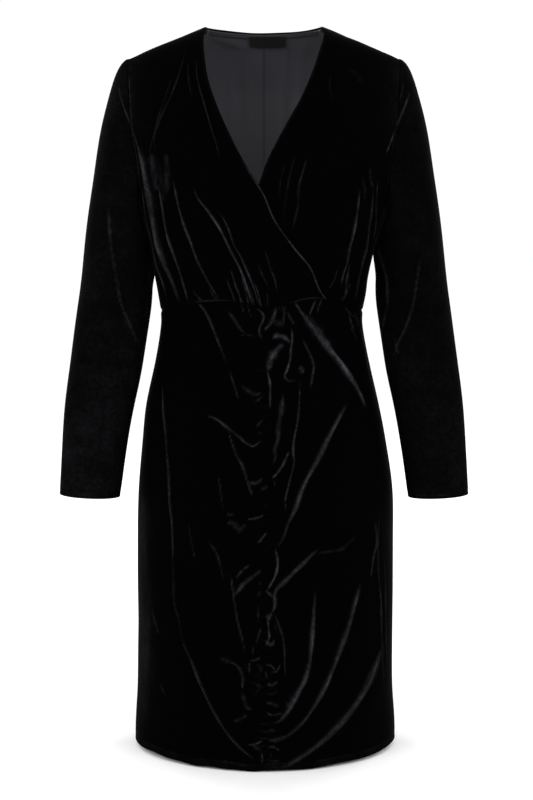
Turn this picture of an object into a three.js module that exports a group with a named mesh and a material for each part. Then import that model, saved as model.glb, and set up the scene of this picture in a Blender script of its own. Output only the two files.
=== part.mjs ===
// Velvet sheath dress with a crossed wrap front, a gathered centre front seam and long sleeves.
// The cloth keeps the filled-out form it has when worn. Every cut piece is one closed, hollow-backed wall.
// Millimetres. +Z is up, the front faces -Y, +X is the wearer's left.
// The origin lies midway between the two high points of the neck, where the shoulders carry the dress.
import * as THREE from "three";

// ---- driving sizes -------------------------------------------------------------------------------
const VELVET = 1.6;            // thickness of the pile cloth
const LINING = 1.0;            // thickness of the lining cloth
const TAPE = 0.6;              // thickness of the neck tape
const LABEL = 0.5;             // thickness of the folded label
const SEAM_GAP = 0.3;          // space left between two pieces at a seam
const WAIST_GAP = 0.45;        // the same at the waist seam
const NECK_HALF = 77;          // half width of the neck at the shoulder
const NECK_RISE = 16;          // height the shoulder line would reach at the centre
const SHOULDER_X = 179;        // shoulder point, across
const SHOULDER_Z = -42.6;      // shoulder point, height
const SHOULDER_ROUND = 110;    // height over which the shoulder turns from flat to upright
const UNDERARM_Z = -240;       // bottom of the armhole
const BACK_NECK_DROP = 6;      // the back neck dips this far at the centre
const WAIST_SIDE_Z = -377;     // waist seam at the side seams
const SKIRT_TOP = -366;        // waist seam at the centre front seam
const HEM_SIDE_Z = -972;       // hem at the side seams
const HEM_HALF = 182;          // half width of the dress at the hem
const HEM_DIP = 5;             // the hem hangs this much lower at the centre
const UNDERLAP_STEP = 3.4;     // the under wrap layer lies this far inside the upper one
const UNDERLAP_EASE = 26;      // width over which it sinks to that depth
const SLEEVE_FREE_Z = -300;    // below this height the sleeve is a plain tube
const CUFF_OUTER_Z = -627;     // bottom of the sleeve, outer side
const CUFF_INNER_Z = -631;     // bottom of the sleeve, inner side
const SLEEVE_GAP = 0.4;        // space between armhole edge and sleeve
const LINING_INSET = 3.6;      // the lining's outer face lies this far inside the dress
const LINING_EDGE = 0.03;      // share of the back's width that the lining leaves at each armhole
const LINING_LOW = 0.015;      // shares of the back's height where the lining starts and ends
const LINING_HIGH = 0.98;
const TAPE_INSET = 5.1;        // the neck tape lies on the lining
const TAPE_LOW = 0.937;        // shares of the back's height where the tape starts and ends
const TAPE_HIGH = 0.984;
const LABEL_INSET = 6.8;       // the label lies on the tape
const LABEL_LEFT = -20;        // label edges across
const LABEL_RIGHT = 28;
const LABEL_TOP = -8.5;        // label edges in height
const LABEL_BOTTOM = -24;

// ---- folds and gathers ---------------------------------------------------------------------------
const FOLD_START = 0.3;        // share of a fold's length over which it rises
const FOLD_END = 0.2;          // share of its length over which it dies away
const CALM_WAIST = 12;         // folds flatten this near to the waist seam
const CALM_SIDE = 9;           // the same beside an armhole or a side seam
const CALM_CENTRE = 16;        // the same beside the centre front seam
const GATHER_COUNT = 28;       // gathers on each side of the centre front seam
const GATHER_TOP_PITCH = 27;   // distance between gathers below the waist
const GATHER_LOW_PITCH = 16;   // the same at the hem
const GATHER_REACH = 44;       // gathers fade out this far from the seam
const GATHER_HEIGHT = 3.1;
const GATHER_SLOPE = 0.55;     // they rise away from the seam
const GATHER_BEND = 12;        // they straighten this far from the seam
const GATHER_SHIFT = 0.45;     // those of the right half lie this share of a pitch lower
const WAIST_LEAN = 0.28;       // gathers of the bodice lean outward by this slope
const WAIST_LEAN_X = -10;      // from this place across
const SLEEVE_FOLD_SHIFT = 12;  // the right sleeve's folds lie this much higher in front
const SLEEVE_FOLD_EDGE = 4;    // sleeve folds start this far round from the side
const SLEEVE_FOLD_EASE = 18;   // and reach full height over this depth
const CUFF_CALM = 20;          // they die away over this height above the cuff
const ARMHOLE_CALM = 14;       // and over this width beside the armhole

// ---- grids ---------------------------------------------------------------------------------------
const ARMHOLE_STEPS = 12;      // steps from the shoulder point round to the underarm, one side
const SIDE_STEPS = 6;          // steps from the underarm down to the waist seam
const BODICE_COLUMNS = 16;     // steps across each bodice front
const BACK_COLUMNS = 20;       // steps across the back bodice
const SKIRT_COLUMNS = 10;      // steps across each skirt front
const SKIRT_ROWS = 78;         // steps from hem to waist, fine enough for the gathers
const FINE_CENTRE = 1.3;       // skirt columns crowd toward the centre seam
const BACK_SKIRT_COLUMNS = 18;
const BACK_SKIRT_ROWS = 17;
const SLEEVE_LOFT_STEPS = 8;   // steps from the armhole down to the free part
const SLEEVE_TUBE_STEPS = 12;  // steps down the free part
const LINING_COLUMNS = 12;     // steps across each lining half
const LINING_ROWS = [0, 0.13, 0.26, 0.39, 0.52, 0.65, 0.78, 0.89, 0.953, 1];
const TAPE_COLUMNS = 10;
const LABEL_COLUMNS = 5;
const LABEL_ROWS = 2;
const FOLD_STEPS = 16;         // straight steps that stand for a fold's curve
const SETTLE_PASSES = 12;      // passes that settle a height which depends on the place across
const HALVINGS = 40;           // halvings that find where a row meets the wrap edge

// ---- tables --------------------------------------------------------------------------------------
// Torso rings: half widths right and left, depths front and back, roundness (2 is an ellipse).
const RING = {
  columns: ["z", "right", "left", "front", "back", "round"],
  rows: [
    [20, 198, 198, 66, 84, 2.5],
    [-42, 200, 200, 76, 90, 2.5],
    [-90, 199, 199, 86, 97, 2.5],
    [-140, 196, 196, 93, 99, 2.5],
    [-190, 185, 185, 101, 97, 2.5],
    [-210, 177, 177, 104, 95, 2.5],
    [-225, 170, 170, 105, 94, 2.5],
    [-240, 163, 163, 106, 92, 2.5],
    [-260, 158.5, 157.5, 107.5, 90, 2.45],
    [-287, 152.6, 150.2, 108, 86, 2.4],
    [-330, 147, 140.5, 103, 78, 2.3],
    [-353, 143, 137.5, 99, 74, 2.25],
    [-376, 139.5, 133.5, 96, 72, 2.2],
    [-396, 139, 133, 98, 75, 2.2],
    [-440, 146, 141, 108, 89, 2.15],
    [-505, 160, 156, 121, 108, 2.1],
    [-550, 165, 165, 126, 117, 2.1],
    [-620, 171, 175.5, 129, 121, 2.1],
    [-694, 173, 177, 131, 120, 2.05],
    [-807, 173, 177, 134, 117, 2],
    [-892, 175, 177.5, 136, 115, 1.95],
    [-943, 178, 181, 137, 114, 1.9],
    [-985, 179, 182, 138, 114, 1.88],
  ],
};

// Armhole seam seen from the front, one side.
const ARMHOLE = {
  columns: ["z", "x"],
  rows: [[-42.6, 179], [-80, 178], [-140, 172.7], [-190, 165.5], [-225, 163.4], [-240, 163]],
};

// Waist seam across the front and the back, from the wearer's right to the left.
const WAIST_FRONT = {
  columns: ["x", "z"],
  rows: [
    [-139.5, -377], [-91, -362], [-45, -358], [-20, -362], [0, -365],
    [34, -361], [62, -355], [90, -358], [112, -367], [134, -377],
  ],
};
const WAIST_BACK = {
  columns: ["x", "z"],
  rows: [[-139.5, -377], [-80, -373], [0, -370], [80, -373], [134, -377]],
};

// Neck and wrap edges of the two bodice fronts, from the shoulder down to the waist seam.
const WRAP_UPPER = {
  columns: ["z", "x"],
  rows: [
    [0, -77], [-13, -80], [-45, -77], [-73, -71.5], [-108, -59], [-141, -44], [-172, -28],
    [-198, -12], [-218, 1], [-251, 15.5], [-287, 41], [-313, 62], [-345, 75.5], [-360, 87],
  ],
};
const WRAP_UNDER = {
  columns: ["z", "x"],
  rows: [
    [0, 77], [-8, 80], [-35, 72], [-65, 61], [-96, 47], [-133, 26], [-173, 5], [-208, -8],
    [-250, -28], [-300, -56], [-345, -80], [-370, -92],
  ],
};

// Free part of the sleeve: outer and inner edge across, half depth and forward shift.
const SLEEVE = {
  columns: ["z", "outer", "inner", "depth", "forward"],
  rows: [
    [-300, 242.6, 154, 55, 1],
    [-342, 247.5, 150.8, 51, 2],
    [-375, 252, 152.5, 48, 3],
    [-440, 261.5, 162.5, 43, 5],
    [-505, 270, 175.5, 38, 8],
    [-572, 275, 188, 33, 11],
    [-631, 278.5, 196, 29, 13],
  ],
};

// Large folds. Each runs from its start through its middle to its end, seen straight on.
const FOLD_COLUMNS = ["x1", "z1", "x2", "z2", "x3", "z3", "width", "height"];
const BODICE_FRONT_FOLDS = {
  columns: FOLD_COLUMNS,
  rows: [
    [-164, -160, -157, -255, -136, -358, 9, 3.6],
    [-155, -194, -145, -272, -111, -358, 10, 4.6],
    [-138, -213, -124, -290, -100, -357, 8, 3.4],
    [-115, -226, -98, -290, -62, -356, 8, 3.2],
    [-90, -206, -56, -277, -20, -361, 9, 4.2],
    [-54, -245, -32, -302, -8, -363, 8, 2.6],
    [-84, -91, -76, -136, -54, -205, 9, 2.4],
    [-100, -27, -124, -91, -150, -142, 11, 2.2],
    [-8, -264, 5, -309, 16, -349, 9, 2.2],
    [54, -181, 45, -219, 36, -261, 9, 2.4],
    [126, -226, 117, -284, 107, -351, 9, 3.2],
    [143, -240, 142, -293, 130, -361, 9, 3.2],
  ],
};
const SKIRT_FRONT_FOLDS = {
  columns: FOLD_COLUMNS,
  rows: [
    [42, -361, 92, -420, 134, -494, 13, 6],
    [102, -499, 42, -622, 8, -736, 12, 5],
    [114, -672, 62, -690, 8, -734, 11, 4],
    [66, -750, 62, -860, 12, -918, 13, 5.5],
    [125, -736, 104, -842, 38, -930, 13, 5.5],
    [158, -837, 118, -925, 40, -968, 14, 5],
    [155, -634, 152, -708, 163, -822, 12, 3],
    [37, -394, 46, -498, 30, -635, 9, 3],
    [-138, -475, -131, -600, -125, -708, 10, 3.4],
    [-125, -708, -106, -838, -8, -967, 10, 3.6],
    [-93, -361, -70, -402, -34, -483, 10, 3.4],
    [-71, -508, -40, -537, -6, -537, 9, 3],
    [-46, -531, -28, -580, -13, -619, 9, 3],
    [-78, -671, -42, -743, -24, -823, 10, 3],
    [-60, -834, -30, -857, -19, -899, 9, 2.6],
  ],
};
const BACK_FOLDS = {
  columns: FOLD_COLUMNS,
  rows: [
    [-150, -215, -128, -275, -84, -340, 12, 3.4],
    [152, -212, 126, -282, 90, -338, 12, 3.6],
    [-96, -262, -66, -318, -38, -366, 11, 2.6],
    [92, -255, 72, -315, 34, -364, 11, 2.8],
    [-118, -392, -40, -408, 30, -398, 13, 3.2],
    [120, -400, 60, -424, -16, -430, 13, 3],
    [-138, -440, -84, -462, -22, -458, 13, 2.4],
    [146, -458, 96, -486, 40, -488, 13, 2.6],
    [-40, -640, -58, -780, -84, -960, 18, 3],
    [66, -610, 78, -760, 96, -940, 18, 3.2],
    [-146, -600, -140, -720, -150, -880, 14, 2.6],
    [148, -620, 140, -760, 150, -900, 14, 2.4],
  ],
};
const SLEEVE_FRONT_FOLDS = {
  columns: FOLD_COLUMNS,
  rows: [
    [206, -240, 192, -346, 170, -427, 12, 4],
    [214, -330, 204, -372, 186, -424, 10, 3],
    [204, -104, 190, -136, 170, -166, 10, 3.4],
    [226, -470, 222, -530, 230, -590, 13, 2.2],
  ],
};
const SLEEVE_BACK_FOLDS = {
  columns: FOLD_COLUMNS,
  rows: [
    [202, -225, 198, -290, 178, -352, 12, 3.4],
    [232, -360, 214, -392, 184, -410, 11, 3.2],
    [240, -410, 222, -436, 196, -446, 11, 2.6],
    [210, -120, 196, -158, 178, -190, 11, 2.8],
  ],
};

// Gathers drawn onto the waist seam: where, half width, how far up they reach, height.
const WAIST_GATHERS = {
  columns: ["x", "half", "reach", "height"],
  rows: [
    [-118, 6, 70, 1.6], [-84, 6, 80, 1.6], [-46, 5, 60, 1.8], [-32, 5, 90, 1.8], [4, 5, 70, 1.6],
    [28, 5, 55, 1.4], [50, 5, 45, 1.4], [98, 5, 75, 1.7], [119, 5, 80, 1.6],
  ],
};

// ---- small helpers -------------------------------------------------------------------------------
const clamp = (value, low, high) => Math.min(high, Math.max(low, value));
const mix = (a, b, t) => a + (b - a) * t;
const ease = (t) => {
  const c = clamp(t, 0, 1);
  return c * c * (3 - 2 * c);
};

// Smooth curve through one column of a table, found at a value of the table's first column.
function follow(table, name, at) {
  const rows = table.rows[0][0] < table.rows[1][0] ? table.rows : [...table.rows].reverse();
  const c = table.columns.indexOf(name);
  const last = rows.length - 1;
  const x = clamp(at, rows[0][0], rows[last][0]);
  let i = 0;
  while (i < last - 1 && x > rows[i + 1][0]) i += 1;
  const slope = (k) => {
    const a = Math.max(0, k - 1);
    const b = Math.min(last, k + 1);
    return (rows[b][c] - rows[a][c]) / (rows[b][0] - rows[a][0]);
  };
  const span = rows[i + 1][0] - rows[i][0];
  const t = (x - rows[i][0]) / span;
  const s = t * t;
  const q = s * t;
  return (2 * q - 3 * s + 1) * rows[i][c] + (q - 2 * s + t) * span * slope(i)
    + (3 * s - 2 * q) * rows[i + 1][c] + (q - s) * span * slope(i + 1);
}

const add = (p, n, d) => [p[0] + n[0] * d, p[1] + n[1] * d, p[2] + n[2] * d];

// ---- torso form ----------------------------------------------------------------------------------
const halfWidth = (x, z) => follow(RING, x < 0 ? "right" : "left", z);

// Height of the shoulder line above any place across the dress.
function ridge(x) {
  const r = Math.abs(x);
  if (r < NECK_HALF) return NECK_RISE * (1 - (r / NECK_HALF) ** 2);
  return (SHOULDER_Z * (r - NECK_HALF)) / (SHOULDER_X - NECK_HALF);
}

// Place round the ring, 0 at the centre and 1 at the side seam, from the place across.
function ringPlace(x, z) {
  const n = follow(RING, "round", z);
  const t = Math.min(0.999999, Math.abs(x) / halfWidth(x, z));
  const tangent = t / (1 - t ** n) ** (1 / n);
  return (Math.sign(x) * Math.atan(tangent) * 2) / Math.PI;
}

// Place across, from the place round the ring.
function across(s, z) {
  const n = follow(RING, "round", z);
  const angle = (Math.abs(s) * Math.PI) / 2;
  const q = (Math.sin(angle) ** n + Math.cos(angle) ** n) ** (-1 / n);
  return Math.sign(s) * halfWidth(s, z) * Math.sin(angle) * q;
}

// Depth of the dress at a place across and up; face is -1 for the front and 1 for the back.
function depthAt(x, z, face) {
  const n = follow(RING, "round", z);
  const full = follow(RING, face < 0 ? "front" : "back", z);
  const t = Math.min(1, Math.abs(x) / halfWidth(x, z));
  const h = clamp((ridge(x) - z) / SHOULDER_ROUND, 0, 1);
  return face * (full * (1 - t ** n) ** (1 / n) * Math.sqrt(1 - (1 - h) ** 2) + SEAM_GAP / 2);
}

// ---- folds ---------------------------------------------------------------------------------------
// A curve that passes its three values at 0, one half and 1.
function throughThree(t, start, middle, end) {
  const pull = 2 * middle - (start + end) / 2;
  return (1 - t) * (1 - t) * start + 2 * t * (1 - t) * pull + t * t * end;
}

// Height of the cloth above its plain form where a list of folds passes.
function foldHeight(table, x, z) {
  let sum = 0;
  for (const [x1, z1, x2, z2, x3, z3, width, height] of table.rows) {
    let best = Infinity;
    let along = 0;
    for (let k = 0; k < FOLD_STEPS; k += 1) {
      const ta = k / FOLD_STEPS;
      const tb = (k + 1) / FOLD_STEPS;
      const ax = throughThree(ta, x1, x2, x3);
      const az = throughThree(ta, z1, z2, z3);
      const dx = throughThree(tb, x1, x2, x3) - ax;
      const dz = throughThree(tb, z1, z2, z3) - az;
      const w = clamp(((x - ax) * dx + (z - az) * dz) / (dx * dx + dz * dz), 0, 1);
      const d = Math.hypot(x - ax - w * dx, z - az - w * dz);
      if (d < best) {
        best = d;
        along = ta + w / FOLD_STEPS;
      }
    }
    const end = ease(along / FOLD_START) * ease((1 - along) / FOLD_END);
    sum += height * end * Math.exp(-((best / width) ** 2));
  }
  return sum;
}

// Gathers of the skirt front: ridges that lean up and away from the centre seam.
function gatherHeight(x, z) {
  const away = Math.abs(x);
  const run = SKIRT_TOP - (z - (GATHER_SLOPE * away * away) / (away + GATHER_BEND));
  const growth = (GATHER_TOP_PITCH - GATHER_LOW_PITCH) / (HEM_SIDE_Z - SKIRT_TOP);
  const shift = x < 0 ? GATHER_SHIFT : 0;
  const count = Math.log(Math.max(0.05, 1 + (growth * run) / GATHER_TOP_PITCH)) / growth + shift;
  if (count < 0 || count > GATHER_COUNT + 2) return 0;
  const wander = 0.62 + 0.38 * Math.sin(count * 2.3 + 4 * shift) * Math.cos(count * 0.9 + 1);
  const fade = ease(1 - away / GATHER_REACH) * (0.55 + 0.45 * ease(away / 7));
  return GATHER_HEIGHT * wander * fade * (Math.cos(2 * Math.PI * count) - 0.2);
}

// Gathers of the bodice front at the waist seam.
function waistGatherHeight(x, z) {
  let sum = 0;
  for (const [at, half, reach, height] of WAIST_GATHERS.rows) {
    const up = (z - follow(WAIST_FRONT, "z", at)) / reach;
    const lean = at - WAIST_LEAN * Math.sign(at - WAIST_LEAN_X) * up * reach;
    sum += height * ease(1 - up) * Math.exp(-(((x - lean) / half) ** 2));
  }
  return sum;
}

// ---- walls ---------------------------------------------------------------------------------------
const SMALL = 1e-4;
const LEAST_SINE = 0.05;       // steps closer to parallel than this say nothing about the direction
// Direction square to a surface, the mean of the quarters round the point, along the given turn.
function square(surface, u, v, turn) {
  const here = new THREE.Vector3(...surface(u, v));
  const step = (du, dv) => new THREE.Vector3(...surface(u + du, v + dv)).sub(here).normalize();
  const sum = new THREE.Vector3();
  for (const du of [-SMALL, SMALL]) {
    if (u + du < 0 || u + du > 1) continue;
    const a = step(du, 0);
    for (const dv of [-SMALL, SMALL]) {
      if (v + dv < 0 || v + dv > 1) continue;
      const c = new THREE.Vector3().crossVectors(a, step(0, dv));
      if (c.length() > LEAST_SINE) sum.addScaledVector(c.normalize(), Math.sign(du * dv));
    }
  }
  return sum.normalize().multiplyScalar(turn).toArray();
}

// The plain form lifted by its folds.
function folded(surface, turn, relief) {
  return (u, v) => {
    const p = surface(u, v);
    return add(p, square(surface, u, v, turn), relief(p));
  };
}

// A closed wall: an outer grid, an inner grid moved along the normals, and rims that join them.
function wall({ name, surface, turn, columns, rows, inset = 0, thickness, material, tube = false }) {
  const columnCount = columns.length;
  const up = rows.length;
  const positions = [];
  for (const depth of [inset, inset + thickness]) {
    for (const v of rows) {
      for (const u of columns) {
        const p = surface(u, v);
        positions.push(...add(p, square(surface, u, v, turn), -depth));
      }
    }
  }
  const faces = [];
  const layer = columnCount * up;
  const quad = (a, b, c, d) => {
    if (turn > 0) faces.push(a, b, c, a, c, d);
    else faces.push(a, c, b, a, d, c);
  };
  const steps = tube ? columnCount : columnCount - 1;
  const at = (i, j, inner) => (i % columnCount) + j * columnCount + (inner ? layer : 0);
  for (let j = 0; j < up - 1; j += 1) {
    for (let i = 0; i < steps; i += 1) {
      quad(at(i, j, 0), at(i + 1, j, 0), at(i + 1, j + 1, 0), at(i, j + 1, 0));
      quad(at(i, j, 1), at(i, j + 1, 1), at(i + 1, j + 1, 1), at(i + 1, j, 1));
    }
  }
  for (let i = 0; i < steps; i += 1) {
    quad(at(i, 0, 1), at(i + 1, 0, 1), at(i + 1, 0, 0), at(i, 0, 0));
    quad(at(i, up - 1, 0), at(i + 1, up - 1, 0), at(i + 1, up - 1, 1), at(i, up - 1, 1));
  }
  if (!tube) {
    for (let j = 0; j < up - 1; j += 1) {
      quad(at(0, j, 0), at(0, j + 1, 0), at(0, j + 1, 1), at(0, j, 1));
      const end = columnCount - 1;
      quad(at(end, j, 1), at(end, j + 1, 1), at(end, j + 1, 0), at(end, j, 0));
    }
  }
  const geometry = new THREE.BufferGeometry();
  geometry.setAttribute("position", new THREE.Float32BufferAttribute(positions, 3));
  geometry.setIndex(faces);
  geometry.computeVertexNormals();
  const mesh = new THREE.Mesh(geometry, material);
  mesh.name = name;
  return mesh;
}

const even = (count) => Array.from({ length: count + 1 }, (_, i) => i / count);

// ---- bodice --------------------------------------------------------------------------------------
const SIDE_SHARE = SIDE_STEPS / (SIDE_STEPS + ARMHOLE_STEPS);
const ARMHOLE_MIDDLE = (SHOULDER_Z + UNDERARM_Z) / 2;
const ARMHOLE_RISE = (SHOULDER_Z - UNDERARM_Z) / 2;

// Height of the side edge of a bodice piece: side seam first, then round the armhole.
function sideHeight(v) {
  if (v <= SIDE_SHARE) return mix(WAIST_SIDE_Z + WAIST_GAP / 2, UNDERARM_Z, v / SIDE_SHARE);
  const turn = Math.PI * (1 - (v - SIDE_SHARE) / (1 - SIDE_SHARE));
  return ARMHOLE_MIDDLE + ARMHOLE_RISE * Math.cos(turn);
}

// Place round the ring of the side edge.
function sidePlace(v, side) {
  const z = sideHeight(v);
  return v <= SIDE_SHARE ? side : ringPlace(side * follow(ARMHOLE, "x", z), z);
}

const dropShare = (v) => (SHOULDER_Z - sideHeight(v)) / (SHOULDER_Z - WAIST_SIDE_Z - WAIST_GAP / 2);

// Height of a row of a bodice piece at a place across.
function rowHeight(x, v, top, waist) {
  return mix(top(x), follow(waist, "z", x) + WAIST_GAP / 2, dropShare(v));
}

// Where a row meets the wrap edge.
function wrapPoint(edge, v) {
  let low = edge.rows.at(-1)[0];
  let high = edge.rows[0][0];
  for (let k = 0; k < HALVINGS; k += 1) {
    const z = (low + high) / 2;
    if (z > rowHeight(follow(edge, "x", z), v, ridge, WAIST_FRONT)) high = z;
    else low = z;
  }
  return { x: follow(edge, "x", low), z: low };
}

// A bodice front between its side edge and its wrap edge; side is -1 for the wearer's right.
function bodiceFront(side, edge) {
  const memory = new Map();
  const ends = (v) => {
    if (!memory.has(v)) {
      const wrap = wrapPoint(edge, v);
      const z = sideHeight(v);
      const place = sidePlace(v, side);
      const x = across(place, z);
      const error = z - rowHeight(x, v, ridge, WAIST_FRONT);
      memory.set(v, { inner: ringPlace(wrap.x, wrap.z), outer: place, error });
    }
    return memory.get(v);
  };
  return (u, v) => {
    const { inner, outer, error } = ends(v);
    const share = side < 0 ? 1 - u : u;
    const s = mix(inner, outer, share);
    let z = sideHeight(v);
    let x = 0;
    for (let k = 0; k < SETTLE_PASSES; k += 1) {
      x = across(s, z);
      z = rowHeight(x, v, ridge, WAIST_FRONT) + error * share;
    }
    return [x, depthAt(x, z, -1), z];
  };
}

// The back bodice: neck zone in the middle, shoulders and armholes outside it.
const neckHeight = (x) => -BACK_NECK_DROP * (1 - (x / NECK_HALF) ** 2);
const backTop = (x) => (Math.abs(x) < NECK_HALF ? neckHeight(x) : ridge(x));
const NECK_PLACE = ringPlace(NECK_HALF, 0);
const NECK_SHARE = 0.5;

function bodiceBack(u, v) {
  const w = 2 * u - 1;
  const side = w < 0 ? -1 : 1;
  const z0 = sideHeight(v);
  const outer = Math.abs(sidePlace(v, side));
  const error = z0 - rowHeight(across(side * outer, z0), v, backTop, WAIST_BACK);
  const wide = Math.abs(w);
  const beyond = clamp((wide - NECK_SHARE) / (1 - NECK_SHARE), 0, 1);
  const s = wide < NECK_SHARE
    ? NECK_PLACE * Math.sin((Math.PI * wide) / (2 * NECK_SHARE))
    : mix(NECK_PLACE, outer, beyond);
  let z = z0;
  let x = 0;
  for (let k = 0; k < SETTLE_PASSES; k += 1) {
    x = across(side * s, z);
    z = rowHeight(x, v, backTop, WAIST_BACK) + error * beyond * beyond;
  }
  return [x, depthAt(x, z, 1), z];
}

// How far a place lies under the upper wrap layer, 0 outside it and 1 under it.
function underWrap(x, z) {
  return ease(1 + (follow(WRAP_UPPER, "x", z) - x) / UNDERLAP_EASE);
}

const calmAtWaist = (x, z) => (
  ease(Math.abs(z - follow(WAIST_FRONT, "z", x)) / CALM_WAIST)
);
const sideEdge = (x, z) => (z > UNDERARM_Z ? follow(ARMHOLE, "x", z) : halfWidth(x, z));
const calmAtSide = (x, z) => ease((sideEdge(x, z) - Math.abs(x)) / CALM_SIDE);
const calmAtCentre = (x) => 0.2 + 0.8 * ease(Math.abs(x) / CALM_CENTRE);

// ---- skirt ---------------------------------------------------------------------------------------
const hemHeight = (x) => HEM_SIDE_Z - HEM_DIP * (1 - (x / HEM_HALF) ** 2);

// Skirt cloth at a place round the ring, v rising from the hem to the waist seam.
function skirtPoint(s, v, face, waist) {
  let z = mix(HEM_SIDE_Z, WAIST_SIDE_Z, v);
  let x = 0;
  for (let k = 0; k < SETTLE_PASSES; k += 1) {
    x = across(s, z);
    z = mix(hemHeight(x), follow(waist, "z", x) - WAIST_GAP / 2, v);
  }
  return [x, depthAt(x, z, face), z];
}

function skirtFront(side) {
  return (u, v) => {
    const away = side < 0 ? 1 - u : u;
    const p = skirtPoint(side * away, v, -1, WAIST_FRONT);
    return [p[0] + (side * SEAM_GAP * (1 - away)) / 2, p[1], p[2]];
  };
}

// ---- sleeve --------------------------------------------------------------------------------------
const SLEEVE_SIDES = 2 * ARMHOLE_STEPS;
const LOFT_SHARE = SLEEVE_LOFT_STEPS / (SLEEVE_LOFT_STEPS + SLEEVE_TUBE_STEPS);

// A point of the armhole seam; turn 0 is the shoulder point, a quarter turn the front.
function armholePoint(turn) {
  const z = ARMHOLE_MIDDLE + ARMHOLE_RISE * Math.cos(turn);
  const x = follow(ARMHOLE, "x", z);
  const face = Math.sin(turn) >= 0 ? -1 : 1;
  return [x + SLEEVE_GAP, depthAt(x, z, face) - (face * SEAM_GAP) / 2, z];
}

function sleeveTube(turn, z) {
  const outer = follow(SLEEVE, "outer", z);
  const inner = follow(SLEEVE, "inner", z);
  return [
    (outer + inner) / 2 + ((outer - inner) / 2) * Math.cos(turn),
    -follow(SLEEVE, "forward", z) - follow(SLEEVE, "depth", z) * Math.sin(turn),
    z,
  ];
}

function sleeve(side) {
  return (u, v) => {
    const turn = 2 * Math.PI * u;
    const toInner = (1 - Math.cos(turn)) / 2;
    let p;
    if (v <= LOFT_SHARE) {
      const t = v / LOFT_SHARE;
      const start = armholePoint(turn);
      const end = sleeveTube(turn, SLEEVE_FREE_Z);
      const fall = 2 - toInner;
      p = [mix(start[0], end[0], t), mix(start[1], end[1], t), mix(start[2], end[2], t ** fall)];
    } else {
      const t = (v - LOFT_SHARE) / (1 - LOFT_SHARE);
      p = sleeveTube(turn, mix(SLEEVE_FREE_Z, mix(CUFF_OUTER_Z, CUFF_INNER_Z, toInner), t));
    }
    return [side * p[0], p[1], p[2]];
  };
}

function sleeveRelief(side) {
  return ([x, y, z]) => {
    const middle = -follow(SLEEVE, "forward", z);
    const shift = side < 0 ? SLEEVE_FOLD_SHIFT : 0;
    const ahead = ease((middle - y - SLEEVE_FOLD_EDGE) / SLEEVE_FOLD_EASE);
    const behind = ease((y - middle - SLEEVE_FOLD_EDGE) / SLEEVE_FOLD_EASE);
    const front = ahead * foldHeight(SLEEVE_FRONT_FOLDS, side * x, z - shift);
    const back = behind * foldHeight(SLEEVE_BACK_FOLDS, side * x, z + shift);
    const away = side * x - SHOULDER_X + SLEEVE_FOLD_EDGE;
    return (front + back) * ease((z - CUFF_OUTER_Z) / CUFF_CALM) * ease(away / ARMHOLE_CALM);
  };
}

// ---- the dress -----------------------------------------------------------------------------------
const cloth = (name, color, roughness) => (
  new THREE.MeshStandardMaterial({ name, color, roughness, metalness: 0 })
);
const velvet = cloth("velvet", "#0b0b0c", 0.85);
const lining = cloth("lining", "#2d2c31", 0.6);
const tape = cloth("tape", "#26252a", 0.7);
const label = cloth("label", "#131314", 0.7);

const bodiceRows = even(SIDE_STEPS + ARMHOLE_STEPS);
const bodiceColumns = even(BODICE_COLUMNS);
const skirtRows = even(SKIRT_ROWS);
const skirtColumnsLeft = even(SKIRT_COLUMNS).map((t) => t ** FINE_CENTRE);
const skirtColumnsRight = even(SKIRT_COLUMNS).map((t) => 1 - (1 - t) ** FINE_CENTRE);

const upperRelief = ([x, , z]) => waistGatherHeight(x, z)
  + foldHeight(BODICE_FRONT_FOLDS, x, z) * calmAtWaist(x, z) * calmAtSide(x, z);
const underRelief = ([x, , z]) => upperRelief([x, 0, z]) * (1 - underWrap(x, z))
  - UNDERLAP_STEP * underWrap(x, z);
const skirtRelief = ([x, , z]) => calmAtWaist(x, z) * (gatherHeight(x, z)
  + foldHeight(SKIRT_FRONT_FOLDS, x, z) * calmAtSide(x, z) * calmAtCentre(x));
const backRelief = ([x, , z]) => foldHeight(BACK_FOLDS, x, z) * calmAtSide(x, z);

const dress = new THREE.Group();
dress.name = "wrap_sheath_dress";

dress.add(wall({
  name: "front_bodice_right",
  surface: folded(bodiceFront(-1, WRAP_UPPER), 1, upperRelief),
  turn: 1,
  columns: bodiceColumns,
  rows: bodiceRows,
  thickness: VELVET,
  material: velvet,
}));
dress.add(wall({
  name: "front_bodice_left",
  surface: folded(bodiceFront(1, WRAP_UNDER), 1, underRelief),
  turn: 1,
  columns: bodiceColumns,
  rows: bodiceRows,
  thickness: VELVET,
  material: velvet,
}));
dress.add(wall({
  name: "back_bodice",
  surface: folded(bodiceBack, -1, backRelief),
  turn: -1,
  columns: even(BACK_COLUMNS),
  rows: bodiceRows,
  thickness: VELVET,
  material: velvet,
}));
dress.add(wall({
  name: "front_skirt_right",
  surface: folded(skirtFront(-1), 1, skirtRelief),
  turn: 1,
  columns: skirtColumnsRight,
  rows: skirtRows,
  thickness: VELVET,
  material: velvet,
}));
dress.add(wall({
  name: "front_skirt_left",
  surface: folded(skirtFront(1), 1, skirtRelief),
  turn: 1,
  columns: skirtColumnsLeft,
  rows: skirtRows,
  thickness: VELVET,
  material: velvet,
}));
dress.add(wall({
  name: "back_skirt",
  surface: folded((u, v) => skirtPoint(2 * u - 1, v, 1, WAIST_BACK), -1, backRelief),
  turn: -1,
  columns: even(BACK_SKIRT_COLUMNS),
  rows: even(BACK_SKIRT_ROWS),
  thickness: VELVET,
  material: velvet,
}));

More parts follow.
